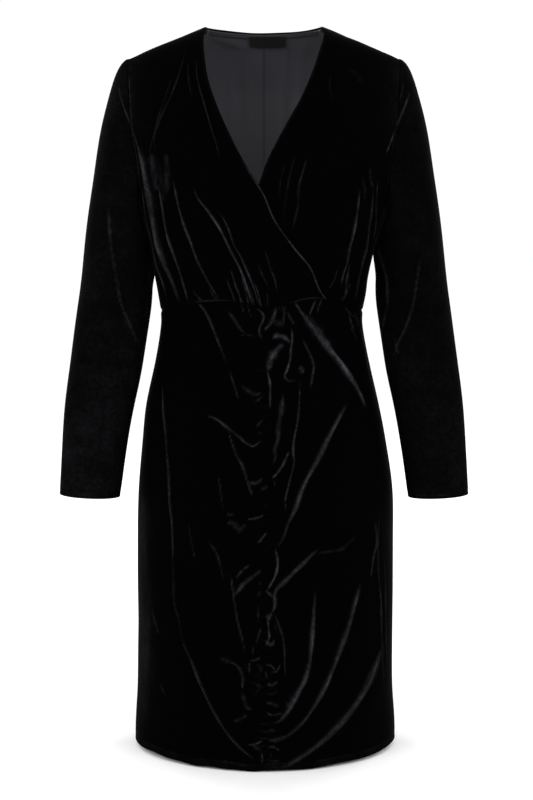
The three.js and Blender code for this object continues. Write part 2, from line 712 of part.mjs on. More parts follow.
for (const [name, side] of [["sleeve_right", -1], ["sleeve_left", 1]]) {
  dress.add(wall({
    name,
    surface: folded(sleeve(side), side, sleeveRelief(side)),
    turn: side,
    columns: even(SLEEVE_SIDES).slice(0, -1),
    rows: even(SLEEVE_LOFT_STEPS + SLEEVE_TUBE_STEPS),
    thickness: VELVET,
    material: velvet,
    tube: true,
  }));
}

// Lining halves stop short of the armholes, the waist seam and the neck edge.
const liningSurface = (from, to, shift) => (u, v) => {
  const p = bodiceBack(mix(from, to, u), mix(LINING_LOW, LINING_HIGH, v));
  return [p[0] + shift, p[1], p[2]];
};
for (const [name, from, to, shift] of [
  ["back_lining_right", LINING_EDGE, 0.5, -SEAM_GAP / 2],
  ["back_lining_left", 0.5, 1 - LINING_EDGE, SEAM_GAP / 2],
]) {
  dress.add(wall({
    name,
    surface: liningSurface(from, to, shift),
    turn: -1,
    columns: even(LINING_COLUMNS),
    rows: LINING_ROWS,
    inset: LINING_INSET,
    thickness: LINING,
    material: lining,
  }));
}

// The tape follows the top rows of the lining, column for column.
const tapeReach = (TAPE_COLUMNS * (0.5 - LINING_EDGE)) / LINING_COLUMNS;
dress.add(wall({
  name: "back_neck_tape",
  surface: (u, v) => bodiceBack(0.5 + (u - 0.5) * tapeReach, mix(TAPE_LOW, TAPE_HIGH, v)),
  turn: -1,
  columns: even(TAPE_COLUMNS),
  rows: even(1),
  inset: TAPE_INSET,
  thickness: TAPE,
  material: tape,
}));
dress.add(wall({
  name: "neck_label",
  surface: (u, v) => {
    const x = mix(LABEL_LEFT, LABEL_RIGHT, u);
    const z = mix(LABEL_BOTTOM, LABEL_TOP, v);
    return [x, depthAt(x, z, 1), z];
  },
  turn: -1,
  columns: even(LABEL_COLUMNS),
  rows: even(LABEL_ROWS),
  inset: LABEL_INSET,
  thickness: LABEL,
  material: label,
}));

export default dress;
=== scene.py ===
"""Velvet sheath dress with a crossed wrap front, a gathered centre seam and long sleeves.

Each cut piece of cloth is worked out on a grid in millimetres: its plain form, then the folds that
lift it, then its thickness. It goes into the mesh in metres. The origin lies midway between the
two high points of the neck. +Z is up, the front faces -Y and +X is the wearer's left.
"""

import math

import bpy
import numpy as np
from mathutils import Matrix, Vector


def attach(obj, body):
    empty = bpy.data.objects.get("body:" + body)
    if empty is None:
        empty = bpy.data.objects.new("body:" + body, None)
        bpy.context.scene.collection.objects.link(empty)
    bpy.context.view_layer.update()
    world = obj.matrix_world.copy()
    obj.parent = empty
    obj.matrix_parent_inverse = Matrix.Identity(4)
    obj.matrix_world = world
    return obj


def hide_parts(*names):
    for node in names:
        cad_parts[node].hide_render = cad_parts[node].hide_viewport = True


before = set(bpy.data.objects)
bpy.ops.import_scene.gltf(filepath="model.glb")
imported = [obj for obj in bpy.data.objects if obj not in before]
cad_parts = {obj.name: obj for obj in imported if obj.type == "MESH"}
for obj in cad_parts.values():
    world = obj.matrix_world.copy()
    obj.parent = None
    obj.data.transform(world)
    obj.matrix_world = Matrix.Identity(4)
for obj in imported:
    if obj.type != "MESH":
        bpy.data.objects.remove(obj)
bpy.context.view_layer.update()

MM = 0.001
FRONT, BACK = -1, 1

# ---- sizes in millimetres ------------------------------------------------------------------------
VELVET_THICK = 1.4
LINING_THICK = 0.9
TAPE_THICK = 0.6
LABEL_THICK = 0.5
SEAM_GAP = 0.3
WAIST_GAP = 0.45
NECK_HALF = 77
NECK_RISE = 16
SHOULDER_X = 179
SHOULDER_Z = -42.6
SHOULDER_ROUND = 110
UNDERARM_Z = -240
BACK_NECK_DROP = 6
WAIST_SIDE_Z = -377
HEM_SIDE_Z = -972
HEM_DIP = 5
HEM_HALF = 182
UNDERLAP_STEP = 3.4
UNDERLAP_EASE = 26
SLEEVE_FREE_Z = -300
CUFF_OUTER_Z = -627
CUFF_INNER_Z = -631
SLEEVE_GAP = 0.4
LINING_INSET = 3.6
TAPE_INSET = 5.1
LABEL_INSET = 6.8
LABEL_LEFT, LABEL_RIGHT = -20, 29.5
LABEL_LOW, LABEL_HIGH = -21.8, -6.6
ARMHOLE_MIDDLE = (SHOULDER_Z + UNDERARM_Z) / 2
ARMHOLE_RISE = (SHOULDER_Z - UNDERARM_Z) / 2
BODICE_LOW = WAIST_SIDE_Z + WAIST_GAP / 2
EDGE_ROLL = 1.7                     # radius of the turned neck and wrap edges
HEM_ROLL = 1.2                      # the same at the hem and the cuffs
SEAM_DIP = 1.5                      # how far the cloth sinks into a seam
SEAM_HALF = 2.2                     # half width of that dip
ALLOWANCE = 5.0                     # how far the seam allowances stand inward
ALLOWANCE_HALF = 1.6                # half width of an allowance
NOT_JOINED = 99                     # distance from a seam given where there is none
TURN_UP = 16                        # depth of the hem and cuff turn-ups
LOWER_STITCH, UPPER_STITCH = 4.6, 9  # stitch lines, from the hem or the cuff
SKIRT_TOP = -366                    # top of the gathered centre seam
SEAM_RUN = 606                      # length of that seam
PRESS_MOST = 8                      # how far a sleeve's inner edge stands toward the body
PRESS_INTO = 0.7                    # how far it may go into the body's side
PRESS_START = 234                   # how far down that starts
PRESS_END = {-1: 352, 1: 338}       # how far down it ends on each side
# Painted highlight: a pinched fold also gets a bolder painted sheen highlight.
PINCHED_FOLD = 3.3                  # folds of less half width are drawn sharper and bolder
# How the seam allowances lean at the waist, the side and armhole, the shoulder and the centre seam.
WAIST_LEAN = (0, 0, 1.8)
SIDE_LEAN = (0, -0.9, 0)
SHOULDER_LEAN = (0, 0.9, 0)
CENTRE_LEAN = (-1.2, 0, 0)

# ---- shares and counts ---------------------------------------------------------------------------
SIDE_SHARE = 1 / 3                  # rows of a bodice piece that lie along the side seam
NECK_SHARE = 0.5                    # columns of the back that lie along the neck
LOFT_SHARE = 0.4                    # rows of a sleeve between the armhole and its free part
LINING_EDGE = 0.03                  # columns of the back that the lining leaves free at an armhole
LINING_LOW, LINING_HIGH = 0.015, 0.98   # rows of the back between which the lining lies
TAPE_REACH = 4.7 / 12               # columns of the back that the tape spans
TAPE_LOW, TAPE_HIGH = 0.937, 0.984  # rows of the back between which the tape lies
# The second number sets how much bolder the painted sheen highlight is on a pinched fold.
PINCH, PINCH_PAINTED = 0.2, 0.34      # how much sharper and bolder the pinched folds are
GATHERS = 50                        # ridges along the centre seam
SETTLE = 12                         # passes that settle a height which depends on the place across
HALVINGS = 40                       # halvings that find the wrap edge
HAND = {-1: "right", 1: "left"}     # the wearer's hand on each side

# ---- studio in metres ----------------------------------------------------------------------------
FLOOR_HALF = 12.0
FLOOR_HEIGHT = -0.9788
CAMERA_PLACE = (0.0034, -2.7, -0.13)
CAMERA_AIM = 0.37 / 2.7             # fall of its view over the way to the dress
KEY_TARGET = (0, 0, -0.45)
REAR_TARGET = (0, 0, -0.4)


def table(names, *rows):
    """Columns of a small table by name, turned so that the first one rises."""
    columns = np.array(rows, float).T
    if columns[0, 0] > columns[0, -1]:
        columns = columns[:, ::-1]
    return dict(zip(names.split(), columns))


# Torso rings: half widths right and left, depths front and back, roundness (2 is an ellipse).
RING = table(
    "z right left front back round",
    (20, 198, 198, 66, 84, 2.5),
    (-42, 200, 200, 76, 90, 2.5),
    (-90, 199, 199, 86, 97, 2.5),
    (-140, 196, 196, 93, 99, 2.5),
    (-190, 185, 185, 101, 97, 2.5),
    (-210, 177, 177, 104, 95, 2.5),
    (-225, 170, 170, 105, 94, 2.5),
    (-240, 163, 163, 106, 92, 2.5),
    (-260, 158.5, 157.5, 107.5, 90, 2.45),
    (-287, 152.6, 150.2, 108, 86, 2.4),
    (-330, 147, 140.5, 103, 78, 2.3),
    (-353, 143, 137.5, 99, 74, 2.25),
    (-376, 139.5, 133.5, 96, 72, 2.2),
    (-396, 139, 133, 98, 75, 2.2),
    (-440, 146, 141, 108, 89, 2.15),
    (-505, 160, 156, 121, 108, 2.1),
    (-550, 165, 165, 126, 117, 2.1),
    (-620, 171, 175.5, 129, 121, 2.1),
    (-694, 173, 177, 131, 120, 2.05),
    (-807, 173, 177, 134, 117, 2),
    (-892, 175, 177.5, 136, 115, 1.95),
    (-943, 178, 181, 137, 114, 1.9),
    (-985, 179, 182, 138, 114, 1.88),
)
# Armhole seam seen from the front, one side.
ARMHOLE = table(
    "z x", (-42.6, 179), (-80, 178), (-140, 172.7), (-190, 165.5), (-225, 163.4), (-240, 163)
)
# Waist seam across the front and the back, from the wearer's right to the left.
WAIST_FRONT = table(
    "x z",
    (-139.5, -377),
    (-91, -362),
    (-45, -358),
    (-20, -362),
    (0, -365),
    (34, -361),
    (62, -355),
    (90, -358),
    (112, -367),
    (134, -377),
)
WAIST_BACK = table("x z", (-139.5, -377), (-80, -373), (0, -370), (80, -373), (134, -377))
# Neck and wrap edges of the two bodice fronts, from the shoulder down to the waist seam.
WRAP_UPPER = table(
    "z x",
    (0, -77),
    (-13, -80),
    (-45, -77),
    (-73, -71.5),
    (-108, -59),
    (-141, -44),
    (-172, -28),
    (-198, -12),
    (-218, 1),
    (-251, 15.5),
    (-287, 41),
    (-313, 62),
    (-345, 75.5),
    (-360, 87),
)
WRAP_UNDER = table(
    "z x",
    (0, 77),
    (-8, 80),
    (-35, 72),
    (-65, 61),
    (-96, 47),
    (-133, 26),
    (-173, 5),
    (-208, -8),
    (-250, -28),
    (-300, -56),
    (-345, -80),
    (-370, -92),
)
# Free part of the sleeve: outer and inner edge across, half depth and forward shift.
SLEEVE = table(
    "z outer inner depth forward",
    (-300, 242.6, 154, 55, 1),
    (-342, 247.5, 150.8, 51, 2),
    (-375, 252, 152.5, 48, 3),
    (-440, 261.5, 162.5, 43, 5),
    (-505, 270, 175.5, 38, 8),
    (-572, 275, 188, 33, 11),
    (-631, 278.5, 196, 29, 13),
)

# ---- folds ---------------------------------------------------------------------------------------
# Each row: lift, half width, strength of the painted sheen highlight along the fold, share of the
# length where the fold is broadest, then the places (x, z) it runs through.
BODICE_FOLDS = (
    (3.0, 2.5, 0.40, 0.5, (-161, -206), (-156, -250), (-148, -282), (-143, -311), (-134, -336),
     (-127, -364)),
    (1.8, 2.2, 0.42, 0.5, (-174, -130), (-166, -152), (-160, -170), (-156, -192)),
    (1.6, 2.0, 0.46, 0.4, (171, -136), (165, -152), (159, -167)),
    (4.6, 5.8, 0.62, 0.3, (-165, -150), (-158, -180), (-152, -208), (-147, -236), (-143, -262),
     (-139, -287), (-130, -313), (-121, -333), (-109, -366)),
    (3.0, 2.8, 0.46, 0.5, (-139, -200), (-131, -248), (-125, -276), (-117, -299), (-108, -326),
     (-98, -366)),
    (3.0, 2.8, 0.48, 0.3, (-119, -196), (-111, -234), (-103, -260), (-95, -279), (-86, -305),
     (-76, -326), (-65, -345), (-55, -360)),
    (3.8, 2.8, 0.62, 0.5, (-93, -206), (-85, -224), (-72, -240), (-57, -262), (-43, -290), (-31, -313),
     (-23, -335), (-13, -368)),
    (2.4, 2.4, 0.40, 0.7, (-60, -236), (-46, -262), (-39, -283), (-31, -296), (-22, -316),
     (-12, -342), (-6, -366)),
    (1.8, 2.0, 0.44, 0.8, (-43, -314), (-35, -341), (-26, -364)),
    (1.4, 1.8, 0.36, 0.8, (-49, -326), (-41, -347), (-35, -364)),
    (1.4, 1.6, 0.42, 0.8, (-30, -320), (-24, -342), (-19, -366)),
    (1.2, 1.5, 0.40, 0.8, (-34, -338), (-31, -352), (-29, -368)),
    (1.2, 1.5, 0.38, 0.8, (-19, -338), (-15, -352), (-12, -369)),
    (1.6, 1.8, 0.44, 0.8, (-12, -332), (-7, -348), (-3, -368)),
    (1.2, 1.6, 0.34, 0.7, (4, -344), (5, -356), (4, -368)),
    (1.4, 2.2, 0.28, 0.5, (1, -288), (8, -312), (14, -328), (18, -348)),
    (1.2, 2.2, 0.24, 0.5, (-8, -306), (-2, -322), (6, -338)),
    (1.4, 2.4, 0.24, 0.6, (-101, -28), (-108, -58), (-119, -89), (-130, -111), (-138, -131), (-147, -156),
     (-151, -176)),
    (1.2, 2.0, 0.20, 0.6, (-118, -62), (-127, -92), (-136, -116), (-142, -140), (-142, -168)),
    (1.6, 1.8, 0.30, 0.4, (-88, -42), (-86, -70), (-79, -96), (-69, -130), (-62, -152), (-56, -174)),
    (1.6, 1.8, 0.22, 0.5, (-99, -48), (-97, -72), (-93, -96)),
    (1.2, 9.0, 0.30, 0.5, (-147, -163), (-143, -190), (-140, -217)),
    (0.8, 7.0, 0.24, 0.5, (-127, -164), (-126, -190), (-128, -224)),
    (0.6, 8.0, 0.19, 0.5, (-137, -176), (-134, -204), (-132, -232)),
    (2.6, 2.6, 0.30, 0.4, (57, -168), (50, -190), (45, -209), (44, -232), (40, -251), (35, -272)),
    (1.4, 3.0, 0.16, 0.5, (41, -164), (33, -196), (27, -232), (24, -266)),
    (1.2, 2.4, 0.15, 0.5, (28, -176), (21, -204), (20, -230)),
    (3.2, 2.8, 0.46, 0.5, (125, -210), (121, -241), (116, -267), (111, -288), (108, -308), (104, -322),
     (100, -342)),
    (2.2, 2.6, 0.36, 0.4, (112, -308), (108, -330), (107, -346), (104, -364)),
    (2.6, 3.0, 0.30, 0.5, (143, -206), (141, -236), (137, -262), (134, -288), (129, -310), (124, -338),
     (120, -364)),
    (1.8, 2.4, 0.24, 0.5, (149, -200), (147, -228), (147, -256), (144, -286)),
    (1.2, 3.4, 0.22, 0.5, (128, -196), (131, -214), (130, -228)),
    (1.2, 3.4, 0.20, 0.5, (138, -182), (139, -200), (144, -214)),
    (1.8, 2.4, 0.28, 0.6, (97, -314), (90, -334), (79, -352)),
    (1.2, 2.2, 0.28, 0.5, (114, -334), (108, -348), (99, -361)),
    (1.2, 2.6, 0.15, 0.5, (86, -62), (85, -80), (88, -98)),
    (1.0, 5.0, 0.12, 0.5, (108, -56), (122, -66), (130, -80)),
    (1.0, 1.8, 0.30, 0.6, (-94, -344), (-84, -355), (-74, -360)),
    (1.0, 1.8, 0.30, 0.6, (-72, -338), (-66, -350), (-58, -358)),
)
SKIRT_FOLDS = (
    (3.0, 3.0, 0.56, 0.5, (37, -352), (45, -366), (54, -379), (64, -393), (74, -407)),
    (5.6, 4.8, 0.84, 0.35, (50, -376), (62, -392), (77, -411), (88, -425), (101, -441), (115, -462),
     (125, -479), (137, -505)),
    (1.2, 8.5, 0.46, 0.5, (52, -374), (64, -390), (78, -408), (90, -424)),
    (4.6, 4.4, 0.66, 0.3, (112, -488), (103, -502), (91, -522), (81, -540), (74, -555), (65, -571),
     (55, -589), (48, -605), (42, -624), (32, -645), (24, -667), (14, -679)),
    (2.6, 3.0, 0.58, 0.4, (14, -677), (18, -694), (16, -711), (10, -724), (3, -735)),
    (2.0, 2.8, 0.56, 0.5, (2, -733), (8, -739), (13, -744)),
    (3.4, 4.0, 0.60, 0.4, (74, -679), (64, -687), (54, -696), (43, -706), (34, -715), (25, -724),
     (17, -732), (14, -740), (14, -756), (7, -768)),
    (2.0, 2.6, 0.52, 0.5, (5, -766), (6, -786), (7, -796), (3, -806)),
    (1.2, 4.0, 0.54, 0.5, (3, -766), (7, -770), (10, -764)),
    (1.2, 4.4, 0.50, 0.5, (2, -800), (7, -806), (13, -803)),
    (1.0, 2.4, 0.42, 0.5, (13, -798), (12, -808)),
    (2.2, 2.8, 0.58, 0.3, (36, -390), (37, -407), (35, -420), (34, -433), (30, -446), (27, -454),
     (33, -460), (45, -458)),
    (2.4, 2.4, 0.46, 0.4, (47, -456), (46, -484), (44, -509), (39, -535), (38, -551), (39, -566),
     (34, -587), (28, -613), (28, -621), (30, -636)),
    (1.6, 4.6, 0.58, 0.5, (46, -441), (49, -446), (51, -451)),
    (2.0, 3.0, 0.38, 0.6, (50, -405), (64, -437), (63, -454), (60, -474)),
    (3.0, 4.6, 0.60, 0.3, (10, -406), (17, -402), (26, -404), (36, -412)),
    (3.2, 6.4, 0.58, 0.5, (27, -412), (17, -420), (10, -430), (7, -440), (5, -449)),
    (2.2, 2.8, 0.56, 0.3, (4, -446), (8, -464), (8, -484), (8, -496)),
    (2.6, 4.4, 0.44, 0.25, (25, -474), (23, -497), (19, -517), (18, -535), (14, -548), (15, -557),
     (11, -570)),
    (1.8, 3.0, 0.54, 0.5, (33, -550), (24, -569), (17, -579), (10, -586)),
    (1.0, 2.4, 0.28, 0.5, (12, -588), (15, -596)),
    (1.8, 4.0, 0.48, 0.5, (17, -360), (12, -379), (7, -388), (-1, -396)),
    (1.0, 7.0, 0.27, 0.5, (12, -381), (19, -386), (27, -384)),
    (1.4, 2.6, 0.36, 0.5, (27, -362), (26, -377), (25, -390)),
    (1.4, 2.6, 0.34, 0.5, (30, -370), (35, -380), (41, -390)),
    (1.0, 1.4, 0.40, 0.5, (21, -358), (20, -369)),
    (1.0, 1.4, 0.40, 0.5, (25, -357), (24, -370)),
    (1.0, 1.4, 0.36, 0.5, (29, -356), (28, -367)),
    (1.8, 2.6, 0.46, 0.5, (-12, -364), (-1, -374), (-1, -382), (-6, -393), (-5, -401), (-1, -409)),
    (1.2, 1.6, 0.36, 0.3, (-22, -360), (-19, -370), (-17, -378)),
    (1.2, 1.6, 0.34, 0.3, (-30, -359), (-27, -369), (-25, -375)),
    (1.8, 2.2, 0.58, 0.4, (69, -354), (64, -364), (60, -376)),
    (1.2, 2.0, 0.42, 0.3, (77, -354), (72, -364), (70, -374)),
    (1.4, 2.0, 0.32, 0.5, (106, -366), (112, -375), (120, -382)),
    (1.4, 2.0, 0.32, 0.5, (112, -372), (115, -388), (121, -400)),
    (1.2, 1.8, 0.27, 0.5, (119, -374), (123, -386), (126, -398)),
    (1.2, 1.8, 0.25, 0.5, (114, -394), (120, -404), (124, -414)),
    (1.2, 1.8, 0.22, 0.5, (127, -394), (133, -424), (143, -474)),
    (2.2, 3.4, 0.24, 0.5, (122, -668), (112, -676), (99, -684), (68, -686)),
    (5.4, 4.4, 0.64, 0.7, (68, -732), (64, -790), (60, -830), (53, -856), (46, -868), (35, -890),
     (27, -902), (17, -911), (3, -910)),
    (1.2, 7.5, 0.46, 0.5, (47, -868), (38, -884), (29, -896)),
    (5.4, 4.6, 0.60, 0.25, (129, -728), (118, -763), (111, -789), (97, -827), (78, -871), (57, -905),
     (42, -921), (29, -931), (12, -935)),
    (1.2, 4.8, 0.40, 0.5, (5, -935), (16, -935), (31, -930)),
    (5.0, 6.0, 0.60, 0.36, (162, -822), (147, -855), (130, -886), (107, -915), (75, -942), (45, -962),
     (28, -972), (8, -976)),
    (2.6, 3.0, 0.34, 0.5, (147, -650), (150, -681), (145, -701), (142, -732)),
    (2.2, 2.0, 0.28, 0.4, (154, -636), (152, -709), (156, -765), (158, -820), (162, -890)),
    (1.4, 1.6, 0.20, 0.5, (162, -700), (163, -780), (166, -860)),
    (1.8, 2.4, 0.36, 0.4, (12, -760), (19, -779), (25, -798), (27, -821), (27, -833), (29, -852)),
    (1.0, 1.6, 0.26, 0.5, (14, -776), (17, -789)),
    (1.4, 2.2, 0.46, 0.5, (0, -833), (9, -834), (15, -841)),
    (1.4, 2.2, 0.40, 0.5, (9, -843), (16, -842), (22, -832)),
    (1.6, 3.6, 0.48, 0.5, (3, -859), (12, -860), (18, -855)),
    (1.0, 3.0, 0.26, 0.5, (2, -842), (4, -853)),
    (1.2, 2.6, 0.24, 0.5, (3, -871), (10, -873), (18, -869)),
    (1.4, 3.6, 0.36, 0.5, (1, -883), (12, -886), (22, -891)),
    (1.5, 2.4, 0.48, 0.5, (3, -897), (11, -901), (24, -899)),
    (1.3, 2.6, 0.34, 0.5, (4, -924), (10, -921), (16, -925)),
    (1.4, 2.6, 0.42, 0.5, (4, -946), (12, -944), (21, -950)),
    (1.0, 2.4, 0.26, 0.5, (8, -953), (10, -959)),
    (1.2, 2.2, 0.24, 0.5, (3, -961), (12, -964), (24, -962)),
    (3.0, 2.6, 0.46, 0.3, (-93, -354), (-79, -369), (-71, -383), (-63, -402), (-53, -427), (-48, -440)),
    (2.0, 2.2, 0.42, 0.4, (-46, -444), (-39, -465), (-33, -484)),
    (2.2, 3.4, 0.38, 0.35, (-47, -369), (-39, -381), (-30, -394), (-22, -400)),
    (1.2, 2.0, 0.22, 0.5, (-32, -401), (-20, -401), (-8, -402)),
    (1.8, 4.2, 0.34, 0.5, (-30, -464), (-20, -473), (-10, -477), (-2, -474)),
    (1.0, 2.4, 0.26, 0.5, (-12, -486), (-6, -483), (-1, -478)),
    (2.6, 2.8, 0.50, 0.35, (-78, -505), (-63, -509), (-49, -519), (-33, -531), (-22, -540), (-12, -543),
     (-2, -533)),
    (2.4, 2.6, 0.48, 0.5, (-47, -522), (-37, -552), (-28, -569), (-22, -588), (-13, -615)),
    (1.5, 3.4, 0.44, 0.5, (-22, -590), (-11, -592), (-1, -585)),
    (1.4, 2.6, 0.30, 0.5, (-11, -519), (-1, -509)),
    (1.0, 2.0, 0.24, 0.5, (-9, -527), (-1, -527)),
    (1.2, 3.8, 0.36, 0.5, (-4, -601), (1, -598), (6, -596)),
    (1.6, 2.4, 0.24, 0.5, (-60, -580), (-56, -606), (-53, -628)),
    (1.0, 3.4, 0.38, 0.5, (-48, -633), (-43, -634), (-39, -633)),
    (1.6, 2.8, 0.50, 0.4, (-22, -640), (-11, -638), (0, -634)),
    (1.8, 6.0, 0.32, 0.5, (-49, -646), (-41, -645), (-33, -652), (-33, -660)),
    (1.4, 4.6, 0.32, 0.5, (-32, -656), (-27, -649), (-23, -646)),
    (1.4, 3.0, 0.44, 0.5, (-8, -671), (-2, -664), (4, -656)),
    (1.8, 2.8, 0.27, 0.5, (-75, -668), (-63, -684), (-58, -699), (-53, -720)),
    (1.6, 3.0, 0.34, 0.5, (-38, -720), (-28, -707), (-17, -699)),
    (2.0, 4.0, 0.52, 0.3, (-40, -743), (-31, -731), (-24, -723), (-8, -710), (-2, -705)),
    (2.2, 2.6, 0.37, 0.5, (-45, -708), (-41, -732), (-39, -748), (-36, -768), (-32, -785), (-27, -806),
     (-25, -822)),
    (1.0, 3.6, 0.36, 0.5, (-9, -741), (-4, -735)),
    (1.0, 2.4, 0.26, 0.5, (-7, -728), (-3, -722)),
    (1.2, 2.4, 0.24, 0.5, (-8, -752), (-8, -778)),
    (1.2, 3.0, 0.28, 0.5, (-4, -783), (-8, -797), (-12, -808)),
    (1.0, 2.6, 0.24, 0.5, (-14, -808), (-15, -822)),
    (1.4, 2.8, 0.40, 0.5, (-20, -828), (-12, -827), (-4, -823)),
    (1.4, 2.2, 0.36, 0.5, (-18, -828), (-20, -846)),
    (1.0, 1.8, 0.30, 0.5, (-23, -832), (-22, -843)),
    (1.0, 4.0, 0.24, 0.5, (-10, -832), (-4, -838), (-8, -846)),
    (1.0, 3.0, 0.22, 0.5, (-12, -858), (-6, -863), (-10, -872)),
    (1.2, 5.0, 0.26, 0.5, (-58, -826), (-50, -829), (-42, -830)),
    (2.0, 3.2, 0.42, 0.6, (-46, -830), (-37, -834), (-31, -841), (-28, -851), (-29, -868)),
    (1.6, 4.0, 0.30, 0.5, (-29, -868), (-26, -881), (-23, -891), (-14, -894)),
    (1.6, 3.8, 0.34, 0.5, (-41, -911), (-31, -907), (-21, -900)),
    (1.4, 2.6, 0.46, 0.4, (-22, -942), (-11, -940), (-1, -935)),
    (1.2, 3.4, 0.34, 0.5, (-14, -942), (-9, -946), (-4, -949)),
    (1.2, 2.0, 0.42, 0.5, (-3, -951), (-2, -958), (-2, -967)),
    (1.0, 2.0, 0.28, 0.5, (-56, -965), (-25, -970), (-8, -974)),
    (3.4, 2.8, 0.40, 0.4, (-135, -462), (-133, -503), (-130, -529), (-128, -560), (-125, -592),
     (-124, -624), (-121, -657), (-121, -716)),
    (2.6, 3.0, 0.20, 0.4, (-121, -690), (-118, -757), (-112, -781), (-107, -818)),
    (3.4, 2.6, 0.50, 0.4, (-110, -796), (-105, -816), (-96, -834), (-86, -859), (-74, -884),
     (-64, -903), (-49, -927), (-33, -945), (-21, -955), (-8, -965)),
    (1.2, 17.0, 0.21, 0.6, (-164, -600), (-161, -740), (-160, -820), (-166, -950)),
    (1.0, 3.0, 0.22, 0.5, (-150, -770), (-146, -790), (-141, -808)),
    (1.0, 2.6, 0.22, 0.5, (-140, -872), (-134, -884), (-130, -890)),
    (1.0, 2.4, 0.18, 0.5, (-100, -646), (-96, -672), (-90, -700)),
)
BACK_BODICE_FOLDS = (
    (3.0, 4.4, 0.50, 0.5, (-151, -200), (-140, -246), (-124, -286), (-104, -322), (-82, -358)),
    (2.4, 3.2, 0.42, 0.6, (-159, -226), (-146, -276), (-130, -316), (-114, -360)),
    (3.0, 4.6, 0.52, 0.5, (153, -198), (141, -248), (124, -290), (106, -324), (86, -356)),
    (2.2, 3.0, 0.40, 0.6, (158, -234), (146, -282), (132, -318), (116, -362)),
    (2.4, 3.0, 0.52, 0.6, (-102, -248), (-84, -290), (-64, -326), (-44, -356), (-32, -380)),
    (2.2, 2.8, 0.46, 0.6, (96, -240), (78, -288), (60, -324), (42, -352), (32, -380)),
    (1.8, 2.6, 0.42, 0.7, (-62, -298), (-46, -334), (-30, -360), (-22, -380)),
    (1.6, 2.4, 0.40, 0.7, (55, -306), (40, -340), (27, -378)),
    (1.4, 2.2, 0.36, 0.7, (-13, -318), (-8, -348), (-6, -380)),
    (1.2, 2.2, 0.32, 0.7, (15, -326), (12, -352), (12, -380)),
    (1.4, 3.0, 0.24, 0.5, (-124, -48), (-134, -104), (-144, -154)),
    (1.4, 3.0, 0.22, 0.5, (122, -52), (134, -110), (145, -158)),
    (1.6, 12.0, 0.12, 0.5, (-70, -90), (-74, -150), (-82, -206)),
    (1.6, 12.0, 0.12, 0.5, (74, -96), (76, -154), (80, -212)),
)
BACK_SKIRT_FOLDS = (
    (3.4, 4.4, 0.62, 0.3, (-128, -382), (-92, -400), (-52, -407), (-6, -404), (38, -395)),
    (3.0, 4.0, 0.56, 0.3, (128, -388), (96, -408), (58, -421), (18, -428), (-26, -429)),
    (2.2, 3.0, 0.44, 0.5, (-90, -382), (-56, -389), (-18, -388), (12, -382)),
    (2.4, 4.0, 0.34, 0.4, (-146, -430), (-112, -450), (-72, -460), (-16, -457)),
    (2.4, 3.8, 0.36, 0.4, (150, -446), (122, -470), (84, -484), (40, -485)),
    (1.6, 2.4, 0.36, 0.3, (89, -370), (80, -388), (67, -402)),
    (3.0, 6.0, 0.34, 0.6, (-34, -630), (-46, -720), (-60, -800), (-82, -880), (-92, -975)),
    (3.2, 5.4, 0.38, 0.6, (60, -590), (70, -690), (80, -780), (92, -870), (106, -975)),
    (2.4, 4.4, 0.26, 0.5, (-148, -570), (-144, -680), (-142, -780), (-148, -910)),
    (2.2, 4.4, 0.26, 0.5, (150, -600), (146, -700), (142, -800), (150, -930)),
    (2.0, 9.0, 0.16, 0.5, (10, -690), (6, -800), (12, -900), (8, -975)),
    (1.8, 5.0, 0.22, 0.5, (-104, -690), (-108, -790), (-118, -890), (-120, -970)),
)
SLEEVE_RIGHT_FRONT_FOLDS = (
    (3.6, 3.4, 0.40, 0.3, (204, -226), (202, -275), (199, -302), (195, -329), (190, -362), (183, -382),
     (174, -405), (166, -426), (161, -442)),
    (2.0, 2.0, 0.42, 0.5, (192, -76), (187, -95), (181, -112), (174, -130), (169, -144)),
    (1.6, 2.6, 0.22, 0.5, (160, -290), (157, -322), (157, -358), (160, -398)),
    (1.6, 4.0, 0.14, 0.5, (166, -430), (172, -460), (180, -500)),
    (1.6, 8.0, 0.12, 0.5, (228, -470), (224, -530), (232, -610)),
)
SLEEVE_LEFT_FRONT_FOLDS = (
    (3.6, 3.2, 0.38, 0.5, (206, -300), (202, -335), (198, -362), (193, -382), (186, -402), (180, -415),
     (176, -429), (170, -444)),
    (1.8, 3.0, 0.34, 0.5, (172, -408), (176, -420), (180, -434)),
    (2.4, 2.0, 0.50, 0.6, (193, -85), (187, -99), (181, -113), (175, -128), (169, -142)),
    (1.6, 2.4, 0.28, 0.5, (183, -74), (181, -86), (176, -104)),
    (2.2, 3.0, 0.36, 0.5, (157, -282), (161, -315), (164, -335), (165, -362), (162, -382), (158, -408)),
    (1.8, 2.6, 0.28, 0.5, (152, -262), (153, -290), (152, -330)),
    (2.0, 5.0, 0.18, 0.5, (180, -436), (184, -480), (186, -520), (188, -560)),
)
SLEEVE_BACK_FOLDS = (
    (3.2, 4.2, 0.40, 0.5, (202, -214), (200, -258), (194, -300), (180, -352)),
    (2.8, 3.6, 0.38, 0.4, (240, -346), (222, -380), (202, -400), (176, -414)),
    (2.4, 3.4, 0.34, 0.4, (246, -398), (228, -426), (208, -440), (188, -448)),
    (2.4, 2.8, 0.40, 0.5, (207, -106), (198, -140), (188, -168), (175, -200)),
    (1.8, 6.0, 0.14, 0.5, (232, -460), (228, -530), (234, -600)),
    (1.6, 3.4, 0.22, 0.5, (216, -294), (206, -336), (194, -366)),
)
